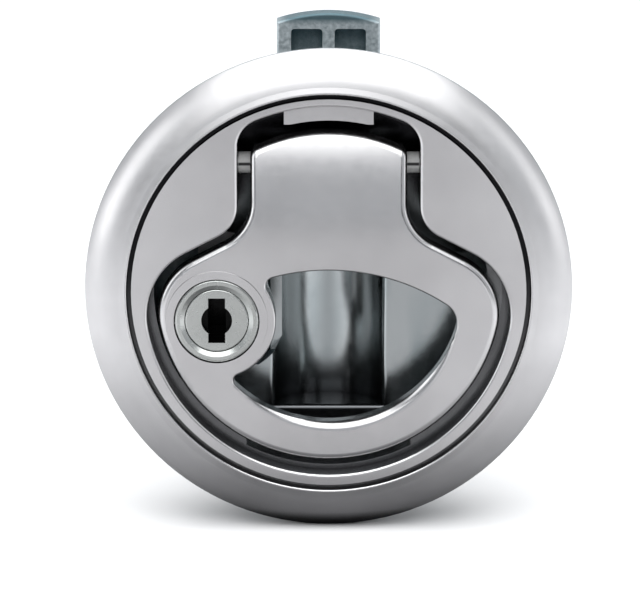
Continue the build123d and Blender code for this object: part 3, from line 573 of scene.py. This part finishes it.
@dataclass(frozen=True)
class KeywayShade:
    """The unlit inside of the keyway, round the lock's axis and behind the plug's front."""

    x: float
    z: float
    radius: float
    front: float
    back: float
    edge: float = 0.1 * MM
    slope: float = 0.3 * MM
    colour: Colour = (0.008, 0.008, 0.008)

    def shade(self, shader: Shader, tone: bpy.types.NodeSocket) -> bpy.types.NodeSocket:
        """Darkens a colour inside the keyway.

        Args:
            shader: Shader that the colour belongs to.
            tone: The colour outside.

        Returns:
            The darkened colour's socket.
        """
        near_axis = shader.drop(shader.away(self.x, self.z), self.radius, self.edge)
        behind = shader.step(shader.depth, self.front, self.slope)
        before_end = shader.drop(shader.depth, self.back, self.slope)
        inside = shader.maths("MULTIPLY", shader.maths("MULTIPLY", near_axis, behind), before_end)
        return shader.mix(inside, tone, self.colour)


@dataclass(frozen=True)
class RolledMetal:
    """Rolled or turned metal with a fine grain, and painted shade in its narrow gaps."""

    name: str
    colour: Colour
    # darker tone of the clouds, also used for the painted shade in narrow gaps
    dark: Colour
    roughness: float
    lines: Grain = Grain(2500.0, 3.0)
    keyway: KeywayShade | None = None
    clouds: Grain = Grain(180.0, 3.0, 0.3, 0.75, 0.5)
    gap: GapShade = GapShade(1.5 * MM, 0.1, 0.5)
    smoother: float = 0.05
    rougher: float = 0.08
    relief: Relief = Relief(0.25, 0.012 * MM)

    def make(self) -> bpy.types.Material:
        """Builds the material.

        Returns:
            The finished material.
        """
        shader = Shader(self.name)
        lines = shader.noise(self.lines)
        clouds = shader.noise(self.clouds)
        tone = shader.mix(shader.shown(clouds, self.clouds), self.colour, self.dark)
        # painted shade: darker in narrow gaps
        tone = shader.mix(shader.gap_shade(self.gap), self.dark, tone)
        if self.keyway:
            tone = self.keyway.shade(shader, tone)
        rough = shader.roughen(lines, self.roughness, self.smoother, self.rougher)
        shader.bump(lines, self.relief)
        return shader.finish(Base_Color=tone, Metallic=1.0, Roughness=rough)


@dataclass(frozen=True)
class Moulded:
    """Moulded rubber or nylon with a fine matt skin, and a thin line of painted shade at one height where
    it has one.
    """

    name: str
    colour: Colour
    dust: Colour
    roughness: float
    skin: Grain = Grain(1800.0, 3.0, 0.4, 0.8, 0.4)
    smoother: float = 0.06
    rougher: float = 0.06
    relief: Relief = Relief(0.3, 0.02 * MM)
    # painted shade: a thin dark line at this height
    shade_line_height: float | None = None
    shade_line_half: float = 0.17 * MM
    shade_line_colour: Colour = (0.02, 0.02, 0.02)

    def make(self) -> bpy.types.Material:
        """Builds the material.

        Returns:
            The finished material.
        """
        shader = Shader(self.name)
        skin = shader.noise(self.skin)
        tone = shader.mix(shader.shown(skin, self.skin), self.colour, self.dust)
        # painted shade line at one height
        if self.shade_line_height is not None:
            above = shader.maths("SUBTRACT", shader.height, self.shade_line_height)
            off_shade_line = shader.step(shader.maths("ABSOLUTE", above), self.shade_line_half, self.shade_line_half)
            tone = shader.mix(off_shade_line, self.shade_line_colour, tone)
        rough = shader.roughen(skin, self.roughness, self.smoother, self.rougher)
        shader.bump(skin, self.relief)
        return shader.finish(Base_Color=tone, Metallic=0.0, Roughness=rough)


class ShapeTree(Graph):
    """A Geometry Nodes tree with named inputs, ended by Realize Instances and Set Material."""

    def __init__(self, name: str) -> None:
        """Starts a tree with a geometry input and output.

        Args:
            name: Name of the tree.
        """
        super().__init__(bpy.data.node_groups.new(name, "GeometryNodeTree"))
        for way in ("INPUT", "OUTPUT"):
            self.tree.interface.new_socket("Geometry", in_out=way, socket_type="NodeSocketGeometry")
        self.start = self.tree.nodes.new("NodeGroupInput")
        self.end = self.tree.nodes.new("NodeGroupOutput")

    def size(self, name: str, kind: str = "NodeSocketFloat") -> bpy.types.NodeSocket:
        """Adds a named input.

        Args:
            name: Name of the input.
            kind: Blender's name of its socket type.

        Returns:
            The socket that gives its value in the tree.
        """
        self.tree.interface.new_socket(name, in_out="INPUT", socket_type=kind)
        return self.start.outputs[name]

    def close(self, geometry: bpy.types.NodeSocket) -> None:
        """Ends the tree: instances become real and get the material.

        Args:
            geometry: The finished shape's socket.
        """
        paint = self.size("Material", "NodeSocketMaterial")
        real = self.add("GeometryNodeRealizeInstances", Geometry=geometry)
        painted = self.add("GeometryNodeSetMaterial", Geometry=real.outputs[0], Material=paint)
        self.feed(self.end.inputs["Geometry"], painted.outputs[0])

    def grow(self, name: str, **sizes: object) -> bpy.types.Object:
        """Makes a plain mesh piece from the tree.

        Args:
            name: Name of the piece.
            sizes: Values of the named inputs, with spaces as underscores.

        Returns:
            The piece, at the origin and unscaled.
        """
        piece = bpy.data.objects.new(name, bpy.data.meshes.new(name))
        bpy.context.scene.collection.objects.link(piece)
        modifier = piece.modifiers.new(name, "NODES")
        modifier.node_group = self.tree
        wanted = {key.replace("_", " "): value for key, value in sizes.items()}
        for item in self.tree.interface.items_tree:
            if item.in_out == "INPUT" and item.name in wanted:
                modifier[item.identifier] = wanted[item.name]
        graph = bpy.context.evaluated_depsgraph_get()
        mesh = bpy.data.meshes.new_from_object(piece.evaluated_get(graph), depsgraph=graph)
        piece.modifiers.remove(modifier)
        piece.data = mesh
        mesh.name = name
        log.info("piece %s has %d faces", name, len(mesh.polygons))
        return piece


@dataclass(frozen=True)
class CoilSprings:
    """Compression springs with closed, ground ends, in place of the frame's plain coils."""

    wire: float = 0.7 * MM
    turns: float = 10.0
    closed_turns: float = 1.2
    steps_in_turn: int = 28
    wire_sides: int = 12

    def tree(self) -> ShapeTree:
        """Builds the tree of one coil along z, its wire following a rule for the pitch.

        Returns:
            The finished tree.
        """
        shape = ShapeTree("coil_spring")
        radius = shape.size("Coil Radius")
        low = shape.size("Low End")
        length = shape.size("Length")
        wire = shape.size("Wire")
        turns = shape.size("Turns")
        closed = shape.size("Closed Turns")
        across = shape.size("Middle X")
        depth = shape.size("Middle Y")
        sides = shape.size("Wire Sides", "NodeSocketInt")
        count = shape.size("Points", "NodeSocketInt")
        line = shape.add("GeometryNodeMeshLine", Count=count)
        index = shape.add("GeometryNodeInputIndex").outputs[0]
        share = shape.maths("DIVIDE", index, shape.maths("SUBTRACT", count, 1.0))
        turned = shape.maths("MULTIPLY", share, turns)
        angle = shape.maths("MULTIPLY", turned, 2 * math.pi)
        last = shape.maths("SUBTRACT", turns, closed)
        closed_rise = shape.maths("MULTIPLY", closed, wire)
        open_rise = shape.maths("SUBTRACT", shape.maths("SUBTRACT", length, wire),
                                shape.maths("MULTIPLY", closed_rise, 2.0))
        first_end = shape.spread(turned, 0.0, closed, 0.0, closed_rise)
        middle = shape.spread(turned, closed, last, 0.0, open_rise)
        other_end = shape.spread(turned, last, turns, 0.0, closed_rise)
        rise = shape.maths("ADD", shape.maths("ADD", first_end, middle), other_end)
        wire_radius = shape.maths("MULTIPLY", wire, 0.5)
        height = shape.maths("ADD", shape.maths("ADD", rise, low), wire_radius)
        round_x = shape.maths("MULTIPLY", radius, shape.maths("COSINE", angle))
        round_y = shape.maths("MULTIPLY", radius, shape.maths("SINE", angle))
        at = shape.add("ShaderNodeCombineXYZ", X=shape.maths("ADD", across, round_x),
                       Y=shape.maths("ADD", depth, round_y), Z=height)
        placed = shape.add("GeometryNodeSetPosition", Geometry=line.outputs[0], Position=at.outputs[0])
        path = shape.add("GeometryNodeMeshToCurve", Mesh=placed.outputs[0])
        ring = shape.add("GeometryNodeCurvePrimitiveCircle", Resolution=sides, Radius=wire_radius)
        tube = shape.add("GeometryNodeCurveToMesh", Curve=path.outputs[0], Profile_Curve=ring.outputs[0],
                         Fill_Caps=True)
        smooth = shape.add("GeometryNodeSetShadeSmooth", Geometry=tube.outputs[0])
        shape.close(smooth.outputs[0])
        return shape

    def make(self, nodes: tuple[str, ...], joint: str, paint: bpy.types.Material) -> None:
        """Makes a coil for each of the frame's springs and puts it in the place of the frame's plain coil.

        Args:
            nodes: The frame's spring nodes.
            joint: The joint that presses them; not used.
            paint: Their material.
        """
        shape = self.tree()
        for node in nodes:
            low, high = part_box(node)
            length = high[2] - low[2]
            piece = shape.grow(
                node + "_coil", Coil_Radius=(high[0] - low[0] - self.wire) / 2, Low_End=low[2],
                Length=length, Wire=self.wire, Turns=self.turns, Closed_Turns=self.closed_turns,
                Middle_X=(low[0] + high[0]) / 2, Middle_Y=(low[1] + high[1]) / 2,
                Wire_Sides=self.wire_sides, Points=int(self.turns * self.steps_in_turn) + 1, Material=paint)
            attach(piece, Body.HOUSING.value)
            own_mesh(piece)
            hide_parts(node)


@dataclass(frozen=True)
class ScrewSize:
    """Sizes of one pan-head screw that the frame's boxes don't give."""

    head_radius: float
    head_height: float
    shank_radius: float
    recess_width: float
    recess_depth: float


class ScrewPattern(ShapeTree):
    """Domed screws with a cross recess, heads towards +y, repeated on a ring or a grid of places."""

    dome = 0.50
    dome_reach = 1.04
    sides = 40
    rings = 24
    recess_reach = 1.15
    shank_seat = -0.499

    def __init__(self, name: str, on_ring: bool) -> None:
        """Builds the whole tree.

        Args:
            name: Name of the tree.
            on_ring: Whether the places lie on a ring and not on a grid.
        """
        super().__init__(name)
        self.head_radius = self.size("Head Radius")
        self.head_height = self.size("Head Height")
        screw = self.join(self.head(), self.shank())
        turned = self.moved(screw, Rotation=self.vector(X=-math.pi / 2))
        places = self.ring() if on_ring else self.grid()
        upright = self.moved(places, Rotation=self.vector(X=math.pi / 2))
        middle = self.vector(X=self.size("Middle X"), Y=self.size("Seat Y"), Z=self.size("Middle Z"))
        seated = self.moved(upright, Translation=middle)
        spots = self.add("GeometryNodeMeshToPoints", Mesh=seated)
        copies = self.add("GeometryNodeInstanceOnPoints", Points=spots.outputs[0], Instance=turned)
        self.close(copies.outputs[0])

    def vector(self, **parts: object) -> bpy.types.NodeSocket:
        """Puts a vector together.

        Args:
            parts: Its X, Y and Z, where they aren't 0.

        Returns:
            The vector's socket.
        """
        return self.add("ShaderNodeCombineXYZ", **parts).outputs[0]

    def moved(self, geometry: bpy.types.NodeSocket, **change: object) -> bpy.types.NodeSocket:
        """Moves, turns or scales a geometry.

        Args:
            geometry: The geometry's socket.
            change: Translation, Rotation or Scale.

        Returns:
            The result's socket.
        """
        return self.add("GeometryNodeTransform", Geometry=geometry, **change).outputs[0]

    def join(self, *parts: bpy.types.NodeSocket) -> bpy.types.NodeSocket:
        """Joins geometries into one.

        Args:
            parts: Their sockets.

        Returns:
            The result's socket.
        """
        node = self.add("GeometryNodeJoinGeometry")
        for part in parts:
            self.feed(node.inputs[0], part)
        return node.outputs[0]

    def solid(self, operation: str, *parts: bpy.types.NodeSocket) -> bpy.types.NodeSocket:
        """Cuts or meets solids.

        Args:
            operation: DIFFERENCE, where the first is cut by the others, or INTERSECT.
            parts: The solids' sockets.

        Returns:
            The result's socket.
        """
        node = self.tree.nodes.new("GeometryNodeMeshBoolean")
        node.operation = operation
        others = parts
        if operation == "DIFFERENCE":
            self.feed(node.inputs[0], parts[0])
            others = parts[1:]
        for part in others:
            self.feed(node.inputs[1], part)
        return node.outputs[0]

    def head(self) -> bpy.types.NodeSocket:
        """Makes the domed head with its cross recess, its underside at the origin.

        Returns:
            The head's socket.
        """
        drum = self.add("GeometryNodeMeshCylinder", Vertices=self.sides, Radius=self.head_radius,
                        Depth=self.head_height)
        half = self.maths("MULTIPLY", self.head_height, 0.5)
        drum_up = self.moved(drum.outputs[0], Translation=self.vector(Z=half))
        ball = self.add("GeometryNodeMeshUVSphere", Segments=self.sides, Rings=self.rings,
                        Radius=self.maths("MULTIPLY", self.head_radius, self.dome_reach))
        rise = self.maths("SUBTRACT", self.head_height, self.maths("MULTIPLY", self.head_radius, self.dome))
        dome = self.moved(ball.outputs[0], Translation=self.vector(Z=rise),
                          Scale=self.vector(X=1.0, Y=1.0, Z=self.dome))
        head = self.solid("INTERSECT", drum_up, dome)
        width = self.size("Recess Width")
        depth = self.maths("MULTIPLY", self.size("Recess Depth"), 2.0)
        reach = self.maths("MULTIPLY", self.head_radius, self.recess_reach)
        blade_size = self.vector(X=reach, Y=width, Z=depth)
        blade = self.add("GeometryNodeMeshCube", Size=blade_size).outputs[0]
        top = self.vector(Z=self.head_height)
        blades = [self.moved(blade, Translation=top, Rotation=self.vector(Z=turn))
                  for turn in (0.0, math.pi / 2)]
        return self.solid("DIFFERENCE", head, *blades)

    def shank(self) -> bpy.types.NodeSocket:
        """Makes the shank below the head, let in a little way.

        Returns:
            The shank's socket.
        """
        length = self.size("Shank Length")
        shank = self.add("GeometryNodeMeshCylinder", Vertices=self.sides, Radius=self.size("Shank Radius"),
                         Depth=length)
        middle = self.maths("MULTIPLY", length, self.shank_seat)
        return self.moved(shank.outputs[0], Translation=self.vector(Z=middle))

    def ring(self) -> bpy.types.NodeSocket:
        """Makes the places on a ring.

        Returns:
            The socket of a mesh with a point at each place.
        """
        ring = self.add("GeometryNodeMeshCircle", Vertices=self.size("Count", "NodeSocketInt"),
                        Radius=self.size("Ring Radius"))
        return self.moved(ring.outputs[0], Rotation=self.vector(Z=self.size("First Angle")))

    def grid(self) -> bpy.types.NodeSocket:
        """Makes the places on a grid.

        Returns:
            The socket of a mesh with a point at each place.
        """
        grid = self.add("GeometryNodeMeshGrid", Size_X=self.size("Span X"), Size_Y=self.size("Span Z"),
                        Vertices_X=self.size("Columns", "NodeSocketInt"),
                        Vertices_Y=self.size("Rows", "NodeSocketInt"))
        return grid.outputs[0]


@dataclass(frozen=True)
class Screws:
    """The clamp's three screws and the bolt cover's four, in place of the frame's plain ones."""

    clamp: ScrewSize = ScrewSize(head_radius=4.0 * MM, head_height=2.6 * MM, shank_radius=2.0 * MM,
                                 recess_width=1.0 * MM, recess_depth=1.4 * MM)
    cover: ScrewSize = ScrewSize(head_radius=2.3 * MM, head_height=1.6 * MM, shank_radius=1.25 * MM,
                                 recess_width=0.6 * MM, recess_depth=0.9 * MM)
    clamp_count: int = 3
    clamp_first_degrees: float = 30.0
    cover_columns: int = 2
    cover_rows: int = 2

    def make(self, finishes: dict[Slot, bpy.types.Material]) -> None:
        """Makes both sets.

        Args:
            finishes: The material of each slot.
        """
        low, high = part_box("clamp_screws")
        first = math.radians(self.clamp_first_degrees)
        ring_radius = ((high[0] - low[0]) / 2 - self.clamp.head_radius) / math.cos(first)
        ring = ScrewPattern("screws_on_ring", on_ring=True)
        self.place(ring, "clamp_screws", self.clamp, finishes, Count=self.clamp_count,
                   Ring_Radius=ring_radius, First_Angle=first, Middle_X=0.0, Middle_Z=0.0)
        low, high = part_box("cover_screws")
        grid = ScrewPattern("screws_on_grid", on_ring=False)
        span_x, span_z = (high[axis] - low[axis] - 2 * self.cover.head_radius for axis in (0, 2))
        self.place(grid, "cover_screws", self.cover, finishes, Span_X=span_x, Span_Z=span_z,
                   Columns=self.cover_columns, Rows=self.cover_rows,
                   Middle_X=(low[0] + high[0]) / 2, Middle_Z=(low[2] + high[2]) / 2)

    @staticmethod
    def place(pattern: ScrewPattern, node: str, size: ScrewSize, finishes: dict[Slot, bpy.types.Material],
              **places: object) -> None:
        """Makes one set and puts it in the place of its CAD node.

        Args:
            pattern: The tree to use.
            node: The CAD node that the set replaces.
            size: The screw's sizes.
            finishes: The material of each slot.
            places: Values of the inputs that give the places.
        """
        low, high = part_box(node)
        slot = slot_of(node)
        piece = pattern.grow(
            node + "_domed", Head_Radius=size.head_radius, Head_Height=size.head_height,
            Shank_Radius=size.shank_radius, Shank_Length=high[1] - low[1] - size.head_height,
            Recess_Width=size.recess_width, Recess_Depth=size.recess_depth,
            Seat_Y=high[1] - size.head_height, Material=finishes[slot], **places)
        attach(piece, Body.HOUSING.value)
        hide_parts(node)


@dataclass(frozen=True)
class Lamp:
    """A soft rectangular lamp: its place, the point that it faces, its size and its brightness."""

    name: str
    at: Point
    towards: Point
    size: tuple[float, float]
    glow: float


@dataclass(frozen=True)
class Card:
    """A dark upright card: its middle, its distance from the panel, its width and its height."""

    name: str
    x: float
    y: float
    width: float
    height: float


@dataclass
class Studio:
    """Pale floor, soft lamps, dark cards and the camera at the photograph's angle."""

    camera_elevation: float = 13.0
    camera_distance: float = 0.75
    picture_width: int = 640
    pixel_size: float = 0.16975 * MM
    sensor_width: float = 36.0
    clip_start: float = 0.01
    clip_end: float = 50.0
    aim_x: float = -1.46 * MM
    aim_up: float = -2.17 * MM
    world_colour: Colour = (0.93, 0.96, 1.0)
    world_strength: float = 0.62
    floor_size: float = 8.0
    floor_colour: Colour = (0.88, 0.88, 0.88)
    floor_roughness: float = 0.9
    floor_sheen: float = 0.1
    # painted reflection and shade: floor tones that only glossy rays see, dark under the object, grey in
    # front and far off, light to the sides
    far_painted_reflection: Colour = (0.36, 0.355, 0.36)
    front_painted_reflection: Colour = (0.49, 0.485, 0.49)
    under_painted_shade: Colour = (0.18, 0.18, 0.185)
    side_painted_reflection: Colour = (0.86, 0.86, 0.87)
    side_from: float = 0.015
    side_to: float = 0.11
    under_from: float = -0.07
    under_to: float = -0.02
    front_from: float = -0.30
    front_to: float = -0.12
    card_colour: Colour = (0.015, 0.017, 0.02)
    card_roughness: float = 0.8
    card_lift: float = 2.0 * MM
    cards: tuple[Card, ...] = (
        Card("card_left", -0.30, -0.42, 0.10, 0.34),
        Card("card_right", 0.20, -0.46, 0.12, 0.34),
    )
    lamps: tuple[Lamp, ...] = (
        Lamp("lamp_top", (0.0, -0.12, 0.58), (0.0, -0.12, 0.0), (0.80, 0.70), 2.3),
        Lamp("lamp_high", (0.0, -0.80, 0.66), (0.0, 0.0, 0.0), (1.10, 0.62), 1.9),
        Lamp("lamp_back", (0.0, 0.75, 0.70), (0.0, 0.35, -0.04), (1.0, 0.5), 2.0),
        Lamp("lamp_left", (-0.60, -0.15, 0.25), (0.0, 0.0, 0.0), (0.35, 0.45), 1.4),
        Lamp("lamp_right", (0.60, -0.10, 0.30), (0.0, 0.0, 0.0), (0.30, 0.45), 0.8),
        Lamp("strip_left", (-0.50, 0.02, 0.06), (0.0, -0.02, 0.0), (0.30, 0.16), 0.85),
        Lamp("strip_right", (0.50, 0.02, 0.06), (0.0, -0.02, 0.0), (0.30, 0.16), 0.85),
    )

    def build(self) -> None:
        """Sets up the whole studio."""
        self.colour_management()
        self.camera()
        self.world()
        floor_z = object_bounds()[0][2]
        self.floor(floor_z)
        for lamp in self.lamps:
            self.hang(lamp)
        for card in self.cards:
            self.stand(card, floor_z)

    def colour_management(self) -> None:
        """Chooses the plain view transform."""
        bpy.context.scene.view_settings.view_transform = "Standard"

    def camera(self) -> None:
        """Places a long lens at the photograph's height, aimed so that the bezel lands as it does there."""
        tilt = math.radians(self.camera_elevation)
        look = Vector((0.0, math.cos(tilt), -math.sin(tilt)))
        up = Vector((0.0, math.sin(tilt), math.cos(tilt)))
        aim = Vector((self.aim_x, 0.0, 0.0)) + up * self.aim_up
        data = bpy.data.cameras.new("camera")
        data.sensor_width = self.sensor_width
        data.lens = self.sensor_width * self.camera_distance / (self.picture_width * self.pixel_size)
        data.clip_start = self.clip_start
        data.clip_end = self.clip_end
        camera = bpy.data.objects.new("camera", data)
        camera.location = aim - look * self.camera_distance
        camera.rotation_euler = look.to_track_quat("-Z", "Y").to_euler()
        bpy.context.scene.collection.objects.link(camera)
        bpy.context.scene.camera = camera

    def world(self) -> None:
        """Fills the surroundings with an even pale light."""
        world = bpy.data.worlds.new("studio")
        world.use_nodes = True
        background = world.node_tree.nodes["Background"]
        background.inputs["Color"].default_value = (*self.world_colour, 1.0)
        background.inputs["Strength"].default_value = self.world_strength
        bpy.context.scene.world = world

    def floor(self, floor_z: float) -> None:
        """Lays the floor under the object: plain and pale to the camera, with painted reflection tones that
        only the metal sees.

        Args:
            floor_z: Height of the object's lowest point.
        """
        half = self.floor_size / 2
        outline = [(x, y, floor_z) for x, y in ((-half, -half), (half, -half), (half, half), (-half, half))]
        shader = Shader("floor")
        aside = shader.maths("ABSOLUTE", shader.across)
        beside = shader.spread(aside, self.side_from, self.side_to, 0.0, 1.0)
        under = shader.spread(shader.depth, self.under_from, self.under_to, 0.0, 1.0)
        nearby = shader.spread(shader.depth, self.front_from, self.front_to, 0.0, 1.0)
        front = shader.mix(nearby, self.far_painted_reflection, self.front_painted_reflection)
        painted_reflection = shader.mix(beside, shader.mix(under, front, self.under_painted_shade), self.side_painted_reflection)
        # painted reflection: the metal sees these tones in the floor, the camera sees the plain pale floor
        in_metal = shader.add("ShaderNodeLightPath").outputs["Is Glossy Ray"]
        tone = shader.mix(in_metal, self.floor_colour, painted_reflection)
        paint = shader.finish(Base_Color=tone, Roughness=self.floor_roughness,
                              Specular_IOR_Level=self.floor_sheen)
        self.panel("floor", outline, paint)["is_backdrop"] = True

    def stand(self, card: Card, floor_z: float) -> None:
        """Stands a dark card before the object, for the metal to mirror and not for the camera to see.

        Args:
            card: The card.
            floor_z: Height of the floor.
        """
        left, right = card.x - card.width / 2, card.x + card.width / 2
        low, high = floor_z + self.card_lift, floor_z + card.height
        outline = [(left, card.y, low), (right, card.y, low), (right, card.y, high), (left, card.y, high)]
        shader = Shader(card.name)
        to_camera = shader.add("ShaderNodeLightPath").outputs["Is Camera Ray"]
        paint = shader.finish(Base_Color=self.card_colour, Roughness=self.card_roughness,
                              Alpha=shader.maths("SUBTRACT", 1.0, to_camera))
        self.panel(card.name, outline, paint)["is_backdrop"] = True

    @staticmethod
    def panel(name: str, outline: list[Point], paint: bpy.types.Material) -> bpy.types.Object:
        """Makes a flat panel.

        Args:
            name: Name of the panel.
            outline: Its four corners in order.
            paint: Its material.

        Returns:
            The new object.
        """
        mesh = bpy.data.meshes.new(name)
        mesh.from_pydata(outline, [], [(0, 1, 2, 3)])
        mesh.materials.append(paint)
        panel = bpy.data.objects.new(name, mesh)
        bpy.context.scene.collection.objects.link(panel)
        return panel

    @staticmethod
    def hang(lamp: Lamp) -> None:
        """Hangs a lamp.

        Args:
            lamp: The lamp, whose brightness of 1 looks white.
        """
        data = bpy.data.lights.new(lamp.name, "AREA")
        data.shape = "RECTANGLE"
        data.size, data.size_y = lamp.size
        data.energy = lamp.glow * math.pi * lamp.size[0] * lamp.size[1]
        piece = bpy.data.objects.new(lamp.name, data)
        piece.location = lamp.at
        facing = Vector(lamp.towards) - Vector(lamp.at)
        piece.rotation_euler = facing.to_track_quat("-Z", "Y").to_euler()
        bpy.context.scene.collection.objects.link(piece)


@dataclass(frozen=True)
class Finishes:
    """The finishes of the whole latch: one material for each record slot, and the lever's own."""

    keyway_radius: float = 4.6 * MM
    keyway_lit: float = 0.5 * MM
    plug_back: float = 3.6 * MM
    # the lever's chrome, with painted shade in its narrow gaps
    lever: SatinChrome = SatinChrome("lever_chrome", on_housing=False, neck_roll=8.4,
                                     gap=GapShade(5.0 * MM, 0.12, 0.42))

    def make_all(self) -> dict[Slot, bpy.types.Material]:
        """Builds the finish of every slot.

        Returns:
            The material of each slot.
        """
        low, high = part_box("pivot_bush_left")
        pivot_height = (low[2] + high[2]) / 2
        low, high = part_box("lock_plug")
        keyway = KeywayShade((low[0] + high[0]) / 2, (low[2] + high[2]) / 2, self.keyway_radius,
                             low[1] + self.keyway_lit, high[1] - self.plug_back)
        turned = Grain(1200.0, 3.0)
        drawn_upwards = Grain(2500.0, 3.0, stretch=(1.0, 1.0, 8.0))
        recipes = {
            Slot.CHROME: SatinChrome("chrome"),
            Slot.LOCK_CHROME: RolledMetal("lock_chrome", colour=(0.50, 0.515, 0.50),
                                          dark=(0.36, 0.375, 0.365), roughness=0.22, lines=turned,
                                          keyway=keyway),
            Slot.ZINC: CastZinc("zinc"),
            Slot.STEEL: RolledMetal("steel", colour=(0.62, 0.62, 0.62), dark=(0.40, 0.40, 0.41),
                                    roughness=0.32, lines=drawn_upwards),
            Slot.SPRING_STEEL: RolledMetal("spring_steel", colour=(0.52, 0.52, 0.53),
                                           dark=(0.25, 0.25, 0.26), roughness=0.30),
            Slot.BRASS: RolledMetal("brass", colour=(0.75, 0.60, 0.32), dark=(0.45, 0.33, 0.16),
                                    roughness=0.30, keyway=keyway),
            # painted shade line at the pivot's height
            Slot.NYLON: Moulded("nylon", colour=(0.66, 0.66, 0.65), dust=(0.48, 0.48, 0.48),
                                roughness=0.45, shade_line_height=pivot_height),
            Slot.RUBBER: Moulded("rubber", colour=(0.030, 0.030, 0.032), dust=(0.09, 0.09, 0.09),
                                 roughness=0.62),
        }
        return {slot: recipe.make() for slot, recipe in recipes.items()}


def slot_of(node: str) -> Slot:
    """Gives the record's material slot of a CAD node.

    Args:
        node: Name of the node.

    Returns:
        Its slot.
    """
    entries = frame["record"]["subparts"]
    return next(Slot(entry["material_slot"]) for entry in entries if entry["node"] == node)


def dress_nodes(finishes: dict[Slot, bpy.types.Material], own: dict[str, bpy.types.Material]) -> None:
    """Gives each node of the frame its own finish, or else the one that the record names for it.

    Args:
        finishes: The material of each slot.
        own: The material of each node that has one of its own.
    """
    for entry in frame["record"]["subparts"]:
        node = frame["nodes"][entry["node"]]
        node.data.materials.clear()
        node.data.materials.append(own.get(entry["node"], finishes[Slot(entry["material_slot"])]))
        log.info("node %s has finish %s", node.name, node.data.materials[0].name)


def main() -> None:
    """Dresses the frame and sets up the studio."""
    logging.basicConfig(level=logging.INFO, format="%(name)s: %(message)s")
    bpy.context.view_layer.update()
    Studio().build()
    recipes = Finishes()
    finishes = recipes.make_all()
    dress_nodes(finishes, {"lever": recipes.lever.make()})
    springs = ("bolt_spring_left", "bolt_spring_right")
    CoilSprings().make(springs, "bolt_slide", finishes[Slot.SPRING_STEEL])
    Screws().make(finishes)


if __name__ == "__main__":
    main()
